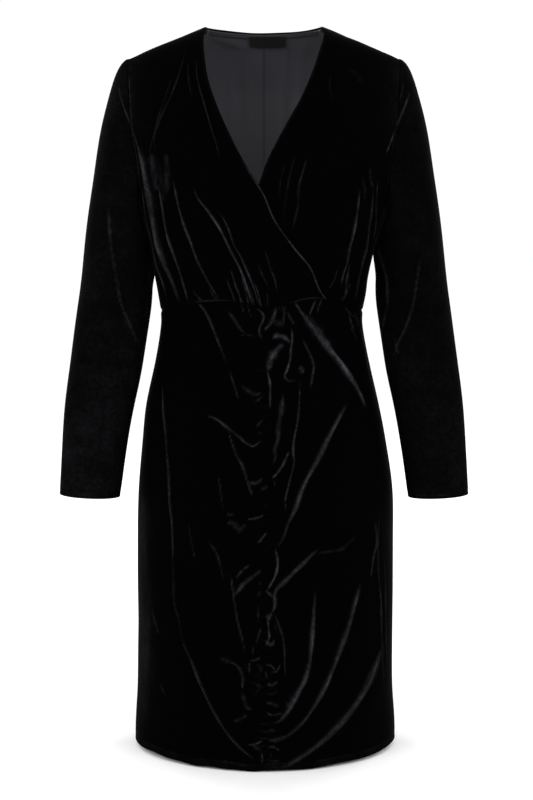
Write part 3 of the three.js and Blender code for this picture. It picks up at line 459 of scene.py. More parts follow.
# In this table the third number is the strength of painted shade along a crease, not a painted sheen.
LINING_FOLDS = (
    (2.4, 6.0, 0.0, 0.4, (-18, -50), (-18, -100), (-17, -150), (-20, -240)),
    (2.6, 5.0, 0.0, 0.4, (30, -34), (29, -90), (24, -150), (18, -240)),
    (-1.8, 7.0, 0.0, 0.4, (8, -60), (7, -130), (2, -240)),
    (1.4, 7.0, 0.0, 0.4, (-44, -70), (-44, -120), (-38, -180)),
    (1.8, 6.0, 0.0, 0.4, (50, -50), (49, -96), (42, -160)),
    (-3.0, 5.5, 0.75, 0.5, (-76, -10), (-64, -15), (-48, -19), (-32, -24), (-18, -28)),
    (1.4, 4.0, 0.30, 0.5, (62, -12), (58, -24), (52, -40)),
    (0.0, 3.0, 0.22, 0.5, (34, -12), (32, -60), (28, -110)),
    (0.0, 6.0, 0.20, 0.5, (-30, -26), (-30, -80), (-27, -130)),
)


# ---- small helpers -------------------------------------------------------------------------------
def ease(t):
    """Smooth step from 0 to 1."""
    c = np.clip(t, 0, 1)
    return c * c * (3 - 2 * c)


def bell(distance, centre, half):
    """A smooth bump of height 1: exp(-((distance - centre) / half)^2)."""
    return np.exp(-(((distance - centre) / half) ** 2))


def cubic(t, a, b, slope_a, slope_b):
    """The cubic that runs from a to b with the given slopes at its ends."""
    s, q = t * t, t * t * t
    first_half = (2 * q - 3 * s + 1) * a + (q - 2 * s + t) * slope_a
    return first_half + (3 * s - 2 * q) * b + (q - s) * slope_b


def follow(columns, name, at):
    """Smooth curve through one column of a table, a cubic between rows with the mean slopes."""
    knots, values = next(iter(columns.values())), columns[name]
    slope = np.empty_like(values)
    slope[1:-1] = (values[2:] - values[:-2]) / (knots[2:] - knots[:-2])
    slope[0] = (values[1] - values[0]) / (knots[1] - knots[0])
    slope[-1] = (values[-1] - values[-2]) / (knots[-1] - knots[-2])
    x = np.clip(at, knots[0], knots[-1])
    i = np.clip(np.searchsorted(knots, x) - 1, 0, len(knots) - 2)
    span = knots[i + 1] - knots[i]
    t = (x - knots[i]) / span
    return cubic(t, values[i], values[i + 1], span * slope[i], span * slope[i + 1])


def curve_through(places, steps=5):
    """A smooth path through a few places: the cubic whose slope at each is half the chord round it."""
    p = np.array(places, float)
    slope = np.gradient(p, axis=0)
    t = np.linspace(0, 1, steps, endpoint=False)[None, :, None]
    body = cubic(t, p[:-1, None], p[1:, None], slope[:-1, None], slope[1:, None])
    return np.concatenate([body.reshape(-1, 2), p[-1:]])


def nearest(path, x, z, reach):
    """Distance from each place to a path, and the share of the path passed there."""
    distance, along = np.full(x.shape, 1e6), np.zeros(x.shape)
    low, high = path.min(axis=0) - reach, path.max(axis=0) + reach
    close = (x > low[0]) & (x < high[0]) & (z > low[1]) & (z < high[1])
    px, pz = x[close], z[close]
    best, share = np.full(px.shape, 1e6), np.zeros(px.shape)
    lengths = np.linalg.norm(np.diff(path, axis=0), axis=1)
    starts = np.concatenate([[0], np.cumsum(lengths)])
    for k, length in enumerate(lengths):
        (ax, az), (bx, bz) = path[k], path[k + 1]
        w = np.clip(((px - ax) * (bx - ax) + (pz - az) * (bz - az)) / length**2, 0, 1)
        d = np.hypot(px - ax - w * (bx - ax), pz - az - w * (bz - az))
        share = np.where(d < best, (starts[k] + w * length) / starts[-1], share)
        best = np.minimum(best, d)
    distance[close], along[close] = best, share
    return distance, along


def raise_folds(folds, x, z):
    """Lift and painted light of a list of folds: each a narrow ridge, exp(-(d/width)^2), with a shallow
    trough on both sides; it widens to its broadest place, wavers a little and dies away. The painted
    light (a sheen highlight on the velvet, a crease shade on the lining) lies in faint lines along the
    fold, and is boldest on a sharp one."""
    lift, painted_amount = np.zeros(x.shape), np.zeros(x.shape)
    for number, (height, width, light, peak, *places) in enumerate(folds):
        pinch = ease((PINCHED_FOLD - width) / 0.3)
        width, light = width * (1 - PINCH * pinch), light * (1 + PINCH_PAINTED * pinch)
        d, along = nearest(curve_through(places), x, z, 4 * width)
        waver = 0.86 + 0.14 * np.sin(along * (11 + number % 5) + 1.7 * number)
        taper = (ease(along / peak) * ease((1 - along) / (1 - peak))) ** 0.5
        swell = 1 + 0.16 * np.sin(along * (17 + number % 7) + 2.3 * number)
        q = d / (width * swell * (0.5 + 0.5 * taper))
        lift += height * taper * waver * (bell(q, 0, 1) - 0.28 * bell(q, 1.8, 0.8))
        painted_share = waver * (ease(along / 0.14) * ease((1 - along) / 0.14)) ** 0.7
        painted_streaks = 0.85 + 0.15 * np.cos(8 * q + 3 * np.sin(5 * along + number))
        painted_amount = np.maximum(painted_amount, light * painted_share * painted_streaks * bell(q, 0, 0.7))
    return lift, painted_amount


def walked(points, axis):
    """Length walked along the grid lines to each place, from one edge and from the one opposite."""
    step = np.linalg.norm(np.diff(points, axis=axis), axis=-1)
    start = np.zeros_like(np.take(step, [0], axis=axis))
    length = np.concatenate([start, np.cumsum(step, axis=axis)], axis=axis)
    return length, np.take(length, [-1], axis=axis) - length


def dip(distance, depth=SEAM_DIP, half=SEAM_HALF):
    """How far cloth sinks beside a seam."""
    return -depth * bell(distance, 0, half)


def roll(distance, radius=EDGE_ROLL):
    """A turned edge: the quarter circle by which the face curves away."""
    inward = np.clip(1 - distance / radius, 0, 1)
    return -radius * (1 - np.sqrt(1 - inward * inward))


def square(points, turn, tube=False):
    """Unit direction square to a grid: the cross product of its slopes, evened out a little."""
    if tube:
        points = np.concatenate([points[:, -2:], points, points[:, :2]], axis=1)
    n = np.cross(np.gradient(points, axis=1), np.gradient(points, axis=0)) * turn
    n /= np.maximum(np.linalg.norm(n, axis=-1, keepdims=True), 1e-9)
    padded = np.pad(n, ((1, 1), (1, 1), (0, 0)), mode="edge")
    n = n + 0.5 * (padded[:-2, 1:-1] + padded[2:, 1:-1] + padded[1:-1, :-2] + padded[1:-1, 2:])
    n /= np.maximum(np.linalg.norm(n, axis=-1, keepdims=True), 1e-9)
    return n[:, 2:-2] if tube else n


def crowded(count, start=True, end=True):
    """Even shares from 0 to 1, with extra ones close to the start, the end or both. Their number
    is odd, as a wall keeps every second one inside."""
    shares = [np.linspace(0, 1, count + 1)]
    fine = np.array([0.0006, 0.0014, 0.0026, 0.004, 0.006])
    if start:
        shares.append(fine)
    if end:
        shares.append(1 - fine)
    shares = np.unique(np.concatenate(shares))
    return shares if len(shares) % 2 else np.delete(shares, len(shares) // 2)


# ---- torso form ----------------------------------------------------------------------------------
def half_width(x, z):
    """Half width of the torso ring on the side of x."""
    return np.where(x < 0, follow(RING, "right", z), follow(RING, "left", z))


def ridge(x):
    """Height of the shoulder line above any place across the dress."""
    r = np.abs(x)
    slope = SHOULDER_Z * (r - NECK_HALF) / (SHOULDER_X - NECK_HALF)
    return np.where(r < NECK_HALF, NECK_RISE * (1 - (r / NECK_HALF) ** 2), slope)


def ring_place(x, z):
    """Place round the ring, 0 at the centre and 1 at the side seam, from the place across."""
    n = follow(RING, "round", z)
    t = np.minimum(0.999999, np.abs(x) / half_width(x, z))
    return np.sign(x) * np.arctan(t / (1 - t**n) ** (1 / n)) * 2 / math.pi


def across(s, z):
    """Place across from the place round the ring, on an ellipse of the ring's roundness."""
    n = follow(RING, "round", z)
    angle = np.abs(s) * math.pi / 2
    q = (np.sin(angle) ** n + np.abs(np.cos(angle)) ** n) ** (-1 / n)
    return np.sign(s) * half_width(s, z) * np.sin(angle) * q


def depth_at(x, z, face):
    """Depth of the front (-1) or back (1): the ring's ellipse, closing to the shoulder line."""
    n = follow(RING, "round", z)
    full = follow(RING, "front" if face < 0 else "back", z)
    t = np.minimum(1, np.abs(x) / half_width(x, z))
    h = np.clip((ridge(x) - z) / SHOULDER_ROUND, 0, 1)
    return face * (full * (1 - t**n) ** (1 / n) * np.sqrt(1 - (1 - h) ** 2) + SEAM_GAP / 2)


# ---- bodice --------------------------------------------------------------------------------------
def side_height(v):
    """Height of a bodice piece's side edge: up the side seam, then round the armhole."""
    seam = BODICE_LOW + (UNDERARM_Z - BODICE_LOW) * v / SIDE_SHARE
    turn = math.pi * (1 - (v - SIDE_SHARE) / (1 - SIDE_SHARE))
    return np.where(v <= SIDE_SHARE, seam, ARMHOLE_MIDDLE + ARMHOLE_RISE * np.cos(turn))


def side_place(v, side):
    """Place round the ring of that side edge."""
    z = side_height(v)
    return np.where(v <= SIDE_SHARE, side, ring_place(side * follow(ARMHOLE, "x", z), z))


def row_height(x, v, top, waist):
    """Height of a row of a bodice piece: a fixed share of the way from its top to the waist."""
    share = (SHOULDER_Z - side_height(v)) / (SHOULDER_Z - BODICE_LOW)
    return top(x) + (follow(waist, "z", x) + WAIST_GAP / 2 - top(x)) * share


def wrap_point(edge, v):
    """Where each row meets the wrap edge, found by halving the height below the neck points."""
    low, high = np.full(v.shape, -380.0), np.zeros(v.shape)
    for _ in range(HALVINGS):
        z = (low + high) / 2
        above = z > row_height(follow(edge, "x", z), v, ridge, WAIST_FRONT)
        low, high = np.where(above, low, z), np.where(above, z, high)
    return follow(edge, "x", low), low


def bodice_front(side, edge, columns, rows):
    """A bodice front between its side edge and its wrap edge; side is -1 for the right one."""
    v = rows[:, None]
    share = (1 - columns if side < 0 else columns)[None, :]
    wrap_x, wrap_z = wrap_point(edge, v)
    edge_z, outer = side_height(v), side_place(v, side)
    miss = edge_z - row_height(across(outer, edge_z), v, ridge, WAIST_FRONT)
    inner = ring_place(wrap_x, wrap_z)
    s = inner + (outer - inner) * share
    z = edge_z + 0 * s
    for _ in range(SETTLE):
        x = across(s, z)
        z = row_height(x, v, ridge, WAIST_FRONT) + miss * share
    return np.stack([x, depth_at(x, z, FRONT), z], axis=-1)


def back_top(x):
    """Top of the back: the neck curve in the middle and the shoulder line outside it."""
    return np.where(np.abs(x) < NECK_HALF, -BACK_NECK_DROP * (1 - (x / NECK_HALF) ** 2), ridge(x))


def bodice_back(columns, rows):
    """The back bodice: the neck zone in the middle, shoulders and armholes outside it."""
    v, w = rows[:, None], (2 * columns - 1)[None, :]
    side, wide = np.where(w < 0, -1, 1), np.abs(w)
    neck_end = float(ring_place(np.array(NECK_HALF), np.array(0.0)))
    top_z, outer = side_height(v), np.abs(side_place(v, 1) + 0 * w)
    miss = top_z - row_height(across(side * outer, top_z + 0 * w), v, back_top, WAIST_BACK)
    beyond = np.clip((wide - NECK_SHARE) / (1 - NECK_SHARE), 0, 1)
    neck = neck_end * np.sin(math.pi * wide / (2 * NECK_SHARE))
    s = np.where(wide < NECK_SHARE, neck, neck_end + (outer - neck_end) * beyond)
    z = top_z + 0 * s
    for _ in range(SETTLE):
        x = across(side * s, z)
        z = row_height(x, v, back_top, WAIST_BACK) + miss * beyond**2
    return np.stack([x, depth_at(x, z, BACK), z], axis=-1)


def under_wrap(x, z):
    """How far a place lies under the upper wrap layer, 0 outside it and 1 under it."""
    return ease(1 + (follow(WRAP_UPPER, "x", z) - x) / UNDERLAP_EASE)


# ---- skirt ---------------------------------------------------------------------------------------
def hem_height(x):
    """The hem dips at the centre and waves a little."""
    wave = 0.7 * np.sin(x / 13.0) + 0.5 * np.sin(x / 6.1 + 1) * (x < 0)
    return HEM_SIDE_Z - HEM_DIP * (1 - (x / HEM_HALF) ** 2) + wave


def skirt(s, rows, face, waist):
    """Skirt cloth at places round the ring, rows rising from the hem to the waist seam."""
    v = rows[:, None]
    z = HEM_SIDE_Z + (WAIST_SIDE_Z - HEM_SIDE_Z) * v + 0 * s
    for _ in range(SETTLE):
        x = across(s, z)
        z = hem_height(x) + (follow(waist, "z", x) - WAIST_GAP / 2 - hem_height(x)) * v
    return np.stack([x, depth_at(x, z, face), z], axis=-1)


# ---- sleeve --------------------------------------------------------------------------------------
def sleeve_form(side, turn, rows):
    """A sleeve: a loft from the armhole seam to the free height, then a tapering oval tube. The
    turn round it is 0 at its outer edge and half a circle at its inner one."""
    turn, v = turn[None, :], rows[:, None]
    to_inner = (1 - np.cos(turn)) / 2

    def tube(z):
        outer, inner = follow(SLEEVE, "outer", z), follow(SLEEVE, "inner", z)
        x = (outer + inner) / 2 + (outer - inner) / 2 * np.cos(turn)
        y = -follow(SLEEVE, "forward", z) - follow(SLEEVE, "depth", z) * np.sin(turn)
        return np.stack([x, y, z + 0 * x], axis=-1)

    seam_z = ARMHOLE_MIDDLE + ARMHOLE_RISE * np.cos(turn)
    seam_x = follow(ARMHOLE, "x", seam_z)
    ahead = depth_at(seam_x, seam_z, FRONT) + SEAM_GAP / 2
    behind = depth_at(seam_x, seam_z, BACK) - SEAM_GAP / 2
    seam_y = np.where(np.sin(turn) >= 0, ahead, behind)
    seam = np.stack([seam_x + SLEEVE_GAP, seam_y, seam_z], axis=-1)
    free = tube(np.full_like(turn, SLEEVE_FREE_Z))
    t = np.clip(v / LOFT_SHARE, 0, 1)
    pull = np.stack([t + 0 * turn, t + 0 * turn, t ** (2 - to_inner)], axis=-1)
    loft = seam + (free - seam) * pull
    cuff = CUFF_OUTER_Z + (CUFF_INNER_Z - CUFF_OUTER_Z) * to_inner
    down = np.clip((v - LOFT_SHARE) / (1 - LOFT_SHARE), 0, 1)
    below = tube(SLEEVE_FREE_Z + (cuff - SLEEVE_FREE_Z) * down)
    points = np.where((v <= LOFT_SHARE)[..., None], loft, below)
    return points * np.array([side, 1, 1])


# ---- cloth ---------------------------------------------------------------------------------------
def wall(name, outer, inner, turn, tube, painted_light):
    """A closed wall between an outer grid in millimetres and an inner one, of which every second
    row and column is kept, joined by rims. The outer faces wear the first material, the inner ones
    the second. Rows and columns are odd in number, or the columns even round a tube."""
    rows, columns = outer.shape[:2]
    at = np.arange(rows * columns).reshape(rows, columns)
    inner = inner[::2, ::2]
    far = rows * columns + np.arange(inner.shape[0] * inner.shape[1]).reshape(inner.shape[:2])
    if tube:
        at = np.concatenate([at, at[:, :1]], axis=1)
        far = np.concatenate([far, far[:, :1]], axis=1)

    def faces(*ring):
        return np.stack(ring if turn > 0 else ring[::-1], axis=-1).reshape(-1, len(ring)).tolist()

    outside = faces(at[:-1, :-1], at[:-1, 1:], at[1:, 1:], at[1:, :-1])
    inside = faces(far[:-1, :-1], far[1:, :-1], far[1:, 1:], far[:-1, 1:])
    first, last, start, end = at[0], at[-1], at[:, 0], at[:, -1]
    rims = faces(far[0, :-1], far[0, 1:], first[2::2], first[1::2], first[:-2:2])
    rims += faces(last[:-2:2], last[1::2], last[2::2], far[-1, 1:], far[-1, :-1])
    if not tube:
        rims += faces(start[:-2:2], start[1::2], start[2::2], far[1:, 0], far[:-1, 0])
        rims += faces(far[:-1, -1], far[1:, -1], end[2::2], end[1::2], end[:-2:2])
    points = np.concatenate([outer.reshape(-1, 3), inner.reshape(-1, 3)]) * MM
    mesh = bpy.data.meshes.new(name)
    mesh.from_pydata(points, [], outside + rims + inside)
    skin = np.zeros(len(mesh.polygons), np.int32)
    skin[-len(inside):] = 1
    mesh.polygons.foreach_set("material_index", skin)
    mesh.polygons.foreach_set("use_smooth", np.ones(len(skin), bool))
    # This attribute carries painted light per point: painted sheen highlight on the velvet, painted shade
    # in the lining's creases and seam and at the tape's edges.
    layer = mesh.attributes.new("painted_light", "FLOAT", "POINT")
    both = np.concatenate([painted_light.ravel(), painted_light[::2, ::2].ravel()])
    layer.data.foreach_set("value", both.astype(np.float32))
    mesh.set_sharp_from_angle(angle=math.radians(70))
    mesh.update()
    piece = bpy.data.objects.new(name, mesh)
    bpy.context.collection.objects.link(piece)
    return piece


def lowest(lift, tube):
    """The least lift among a place and its neighbours."""
    lift = np.pad(lift, ((1, 1), (0, 0)), mode="edge")
    lift = np.pad(lift, ((0, 0), (1, 1)), mode="wrap" if tube else "edge")
    lift = np.minimum(np.minimum(lift[:-2], lift[1:-1]), lift[2:])
    return np.minimum(np.minimum(lift[:, :-2], lift[:, 1:-1]), lift[:, 2:])


def cloth(name, plain, lift, painted_light, turn, thick=VELVET_THICK, inset=0, tube=False, extra=0, lean=0):
    """A piece of cloth: the plain grid lifted square to itself, and a wall of its thickness,
    with extra depth where the cloth is turned up or turned in at a seam. There the inside leans,
    so that no light passes between two pieces."""
    out = square(plain, turn, tube)
    outer = plain + out * (lift - inset)[..., None]
    inner = plain + out * (lowest(lift, tube) - inset - thick - extra)[..., None] + lean
    return wall(name, outer, inner, turn, tube, painted_light)


def turned_up(distance):
    """Extra depth of a turned-up hem, with a soft upper step."""
    return 1.1 * ease((TURN_UP - distance) / 2.5)


def turned_in(*distances):
    """Extra depth of the seam allowances, which stand inward at each joined edge."""
    return ALLOWANCE * bell(np.minimum.reduce(distances), 0, ALLOWANCE_HALF)


def leaning(distance, way):
    """The way seam allowances lie: pushed a little across their seam, alike on both pieces."""
    return bell(distance, 0, ALLOWANCE_HALF)[..., None] * np.array(way)


def needle_lines(distance):
    """Two fine grooves of a twin needle near a hem."""
    return -0.45 * (bell(distance, LOWER_STITCH, 0.8) + bell(distance, UPPER_STITCH, 0.8))


def drag(x, z):
    """Slow uneven drape of a few millimetres that keeps broad areas from lying dead flat."""
    drape = 0.5 * np.sin(x / 23 + z / 61 + 1.1) + 0.4 * np.sin(x / 11 - z / 37 + 2.3)
    return drape + 0.3 * np.sin(x / 47 + z / 19)


def gathers(x, z, side):
    """Small ridges drawn onto the centre seam of the skirt: waves of a count that closes up toward
    the hem. The count drifts with slow sines, so that the ridges bend, meet and part."""
    away = np.abs(x)
    run = np.clip(SKIRT_TOP - (z - 0.5 * away * away / (away + 12)), 0, None)
    drift = 0.35 * np.sin(away / 6.5 + z / 17 + side) + 0.3 * np.sin(away / 11 - z / 29 + 2 * side)
    count = GATHERS * (run / SEAM_RUN) ** 1.25 + drift * ease(away / 8)
    size = 0.5 + 0.5 * np.sin(z / 13.7 + away / 9 + 3 * side) * np.cos(z / 31 - away / 15 + 1)
    reach = 17 + 13 * np.sin(z / 23 + 2 * side) * np.cos(z / 57 + side)
    fade = ease(1 - away / reach) * ease((away + 2) / 3) * ease(run / 12) * ease((SEAM_RUN - run) / 8)
    wave = np.cos(2 * math.pi * count)
    # Painted sheen highlight on the crests of the gathers, bolder toward the hem.
    low = 0.4 + 0.6 * ease((-z - 760) / 100)
    return 1.3 * size * fade * wave, 0.24 * low * size * fade * np.clip(wave, 0, 1) ** 2


def hem_painted_sheen(x, distance):
    """Painted sheen highlight along the two stitch lines of a hem, uneven, and a little on the band."""
    lines = 0.25 * bell(distance, LOWER_STITCH, 1.1) + 0.21 * bell(distance, UPPER_STITCH, 1.0)
    uneven = 0.7 + 0.3 * np.sin(x / 7.3) * np.sin(x / 19 + 1)
    return np.maximum(lines * uneven, 0.085 * uneven * ease((12 - distance) / 3))


def armhole_dip(side, z):
    """The cloth sinks into the armhole and side seams, and lies level at the top of the sleeve."""
    return dip(side, 0.8, 1.8) * ease((-z - 50) / 40)


def shoulder_painted_sheen(side, shoulder, z, most):
    """Painted sheen highlight where the cloth turns to the armhole and the shoulder."""
    return np.maximum(0.13 * np.exp(-side / 24) * ease((z + 200) / 90), most * np.exp(-shoulder / 16))


def waist_painted_sheen(x, distance):
    """Painted sheen highlight along the waist seam, strongest left and right of the wrap."""
    return (0.42 * bell(x, 60, 26) + 0.3 * bell(x, -66, 30)) * bell(distance, 1.8, 1.5)


def calm(seam, waist):
    """Share of the folds that is left near the side seam or armhole and near the waist seam."""
    return ease(seam / 9) * ease((waist + 3) / 9)


def draped(lift, x, z, seam, waist):
    """Folds and slow drape of a bodice piece, dying away toward its seams."""
    return (lift + drag(x, z) * ease(seam / 20) * ease(waist / 20)) * calm(seam, waist)


def front_bodice_right():
    """The upper layer of the wrap."""
    plain = bodice_front(-1, WRAP_UPPER, crowded(236, start=False), crowded(176))
    x, z = plain[..., 0], plain[..., 2]
    lift, painted_amount = raise_folds(BODICE_FOLDS, x, z)
    side, edge = walked(plain, 1)
    waist, shoulder = walked(plain, 0)
    lift = draped(lift, x, z, side, waist) + armhole_dip(side, z) + dip(waist)
    lift += dip(shoulder, 0.9) + roll(edge) * ease(shoulder / 6)
    # Painted highlights: a thin painted sheen line along the turned wrap edge, stronger below the
    # crossing, one along the armhole seam, and painted sheen at the shoulder and the waist seam.
    edge_painted_highlight = 0.1 + (0.38 + 0.1 * np.sin(z / 8)) * ease(-(z + 170) / 40)
    seam = 0.36 * ease((z + 240) / 50) * ease((-z - 58) / 14) * bell(side, 1.4, 1.1)
    painted_amount = painted_amount * ease((side + 3) / 6) * ease((waist + 3) / 9)
    for painted_gleam in (edge_painted_highlight * bell(edge, 1.8, 1.15), seam, shoulder_painted_sheen(side, shoulder, z, 0.14)):
        painted_amount = np.maximum(painted_amount, painted_gleam)
    painted_amount = np.maximum(painted_amount, waist_painted_sheen(x, waist))
    inner = turned_in(side, waist, shoulder)
    lean = leaning(waist, WAIST_LEAN) + leaning(side, SIDE_LEAN) + leaning(shoulder, SHOULDER_LEAN)
    return cloth("front_bodice_right_cloth", plain, lift, painted_amount, 1, extra=inner, lean=lean)


def front_bodice_left():
    """The layer under the wrap; it sinks inward where the other covers it."""
    plain = bodice_front(1, WRAP_UNDER, crowded(216, end=False), crowded(170))
    x, z = plain[..., 0], plain[..., 2]
    lift, painted_amount = raise_folds(BODICE_FOLDS, x, z)
    edge, side = walked(plain, 1)
    waist, shoulder = walked(plain, 0)
    under = under_wrap(x, z)
    lift = draped(lift, x, z, side, waist) * (1 - under) + armhole_dip(side, z)
    lift += dip(waist) * (1 - under) + dip(shoulder, 0.9)
    lift += roll(edge) * ease(shoulder / 6) - UNDERLAP_STEP * under
    painted_amount = painted_amount * ease((side + 3) / 6) * ease((waist + 3) / 9) * (1 - under)
    # Painted highlights: faint painted sheen lines along the side seam and the wrap edge, at the
    # shoulder, and along the waist seam outside the wrap.
    seam = np.maximum(0.16 * bell(side, 1.6, 1.3), shoulder_painted_sheen(side, shoulder, z, 0.19))
    for painted_gleam in (0.12 * bell(edge, 1.9, 1.3), seam, waist_painted_sheen(x, waist) * (1 - under)):
        painted_amount = np.maximum(painted_amount, painted_gleam)
    inner = turned_in(side, waist, shoulder) * (1 - under)
    lean = leaning(waist, WAIST_LEAN) + leaning(side, SIDE_LEAN) + leaning(shoulder, SHOULDER_LEAN)
    return cloth("front_bodice_left_cloth", plain, lift, painted_amount, 1, extra=inner, lean=lean)


def back_bodice():
    """The back, cut in one from side to side. At the armholes its allowance lies toward the sleeve."""
    plain = bodice_back(crowded(200), crowded(170))
    x, z = plain[..., 0], plain[..., 2]
    lift, painted_amount = raise_folds(BACK_BODICE_FOLDS, x, z)
    side = np.minimum(*walked(plain, 1))
    waist, top = walked(plain, 0)
    neck = np.abs(x) < NECK_HALF
    lift = draped(lift, x + 40, z, side, waist) + armhole_dip(side, z) + dip(waist)
    lift += np.where(neck, roll(top), dip(top, 0.9))
    joined = np.where(neck, NOT_JOINED, top)
    # Painted highlight: painted sheen lines along the side and armhole seams and at the shoulders.
    seam = np.maximum(0.14 * bell(side, 1.6, 1.3), shoulder_painted_sheen(side, joined, z, 0.14))
    painted_amount = np.maximum(painted_amount * calm(side, waist), seam)
    inner = turned_in(side, waist, joined)
    lean = leaning(waist, WAIST_LEAN) + leaning(side, SIDE_LEAN) + leaning(joined, SHOULDER_LEAN)
    lean[..., 0] += 4.4 * np.sign(x) * bell(side, 0, ALLOWANCE_HALF) * ease((z + 245) / 30)
    return cloth("back_bodice_cloth", plain, lift, painted_amount, -1, extra=inner, lean=lean)


def front_skirt(side):
    """Half of the skirt front, from the side seam to the gathered centre seam."""
    shares = crowded(142) ** 1.25
    place = (side * shares if side > 0 else shares - 1)[None, :]
    plain = skirt(place, crowded(334), FRONT, WAIST_FRONT)
    plain[..., 0] += side * SEAM_GAP / 2 * (1 - np.abs(place))
    x, z = plain[..., 0], plain[..., 2]
    lift, painted_amount = raise_folds(SKIRT_FOLDS, x, z)
    ruck, painted_gleam = gathers(x, z, side)
    hem, waist = walked(plain, 0)
    edge = walked(plain, 1)[1 if side > 0 else 0]
    centre = np.abs(x)
    near = ease((waist + 3) / 9) * ease((hem + 4) / 14)
    lift = (lift * ease(edge / 10) + drag(x, z) * ease(edge / 30) + ruck) * near
    lift += dip(edge) + dip(waist) + dip(centre, 0.7, 1.6) + needle_lines(hem) + roll(hem, HEM_ROLL)
    # Painted sheen highlight from the folds, the gathers and the hem.
    painted_amount = np.maximum(np.maximum(painted_amount, painted_gleam) * near, hem_painted_sheen(x, hem))
    inner = np.maximum(turned_up(hem), turned_in(edge, waist, centre))
    lean = leaning(waist, WAIST_LEAN) + leaning(edge, SIDE_LEAN) + leaning(centre, CENTRE_LEAN)
    return cloth(f"front_skirt_{HAND[side]}_cloth", plain, lift, painted_amount, 1, extra=inner, lean=lean)


def back_skirt():
    """The skirt back, cut in one from side to side."""
    plain = skirt((2 * crowded(190) - 1)[None, :], crowded(200), BACK, WAIST_BACK)
    x, z = plain[..., 0], plain[..., 2]
    lift, painted_amount = raise_folds(BACK_SKIRT_FOLDS, x, z)
    hem, waist = walked(plain, 0)
    edge = np.minimum(*walked(plain, 1))
    near = ease((waist + 3) / 9) * ease((hem + 4) / 14)
    lift = (lift * ease(edge / 10) + drag(x + 70, z) * ease(edge / 30)) * near
    lift += dip(edge) + dip(waist) + needle_lines(hem) + roll(hem, HEM_ROLL)
    # Painted sheen highlight from the folds and the hem.
    painted_amount = np.maximum(painted_amount * near, hem_painted_sheen(x, hem))
    inner = np.maximum(turned_up(hem), turned_in(edge, waist))
    lean = leaning(waist, WAIST_LEAN) + leaning(edge, SIDE_LEAN)
    return cloth("back_skirt_cloth", plain, lift, painted_amount, -1, extra=inner, lean=lean)


def pressed(x, z, side, turn):
    """How far a sleeve's inner edge stands out toward the body, up to the body's own side: smooth
    steps in and out over the height, times a power of the nearness to that edge."""
    room = np.clip(x - half_width(side * x, z) + PRESS_INTO, 0, None)
    stand = PRESS_MOST * ease((-z - PRESS_START) / 34) * ease((z + PRESS_END[side]) / 46)
    return np.minimum(stand, room) * ((1 - np.cos(turn)) / 2) ** 4


def sleeve(side):
    """A long sleeve, its folds laid on its front half and its back half. A faint painted sheen
    highlight lies all over it, the more so toward the cuff."""
    turn = 2 * math.pi * np.linspace(0, 1, 128, endpoint=False)
    plain = sleeve_form(side, turn, crowded(210))
    x, y, z = side * plain[..., 0], plain[..., 1], plain[..., 2]
    middle = -follow(SLEEVE, "forward", z)
    folds = SLEEVE_LEFT_FRONT_FOLDS if side > 0 else SLEEVE_RIGHT_FRONT_FOLDS
    ahead, painted_ahead = raise_folds(folds, x, z)
    behind, painted_behind = raise_folds(SLEEVE_BACK_FOLDS, x, z + (14 if side < 0 else 0))
    on_front, on_back = ease((middle - y - 4) / 18), ease((y - middle - 4) / 18)
    head, cuff = walked(plain, 0)
    lift = ahead * on_front + behind * on_back + 0.6 * drag(x * 2 + 3 * side, z)
    lift = lift * (ease(head / 10) * ease(cuff / 20)) + pressed(x, z, side, turn)
    lift += armhole_dip(head, z) + needle_lines(cuff) + roll(cuff, HEM_ROLL)
    painted_amount = (painted_ahead * on_front + painted_behind * on_back) * ease((head + 3) / 6) * ease(cuff / 20)
    # Painted sheen highlight over the whole sleeve, stronger on the right one and toward the cuff, and
    # along the cuff's stitch lines.
    rest = 0.085 - 0.01 * side + 0.02 * ease((-z - 300) / 200) + 0.012 * np.sin(z / 31 + x / 19)
    rest += (0.03 if side < 0 else 0.008) * ease((-z - 450) / 110)
    painted_amount = np.maximum(painted_amount, np.maximum(rest * ease((head + 4) / 6), 1.15 * hem_painted_sheen(x, cuff)))
    inner = np.maximum(turned_up(cuff), turned_in(head))
    lean = leaning(head, SIDE_LEAN)
    name = f"sleeve_{HAND[side]}_cloth"
    return cloth(name, plain, lift, painted_amount, side, tube=True, extra=inner, lean=lean)


def back_lining(side):
    """Half of the back lining, from the armhole to the centre back seam."""
    low, high = (LINING_EDGE, 0.5) if side < 0 else (0.5, 1 - LINING_EDGE)
    rows = LINING_LOW + (LINING_HIGH - LINING_LOW) * crowded(120)
    plain = bodice_back(low + (high - low) * crowded(84), rows)
    plain[..., 0] += side * SEAM_GAP / 2
    x, z = plain[..., 0], plain[..., 2]
    lift, shade = raise_folds(LINING_FOLDS, x, z)
    seam, armhole = walked(plain, 1)[::side]
    rest = np.minimum(armhole, walked(plain, 0)[1])
    lift = np.minimum(lift * 0.6, 0) - np.maximum(lift, 0) * 0.9
    lift = lift * ease(rest / 30) + dip(seam, 0.5, 1.2)
    # Painted shade along the centre back seam.
    shade = np.maximum(shade, 0.3 * bell(seam, 0, 1.2))
    name = f"back_lining_{HAND[side]}_cloth"
    return cloth(name, plain, lift, shade, -1, LINING_THICK, LINING_INSET)


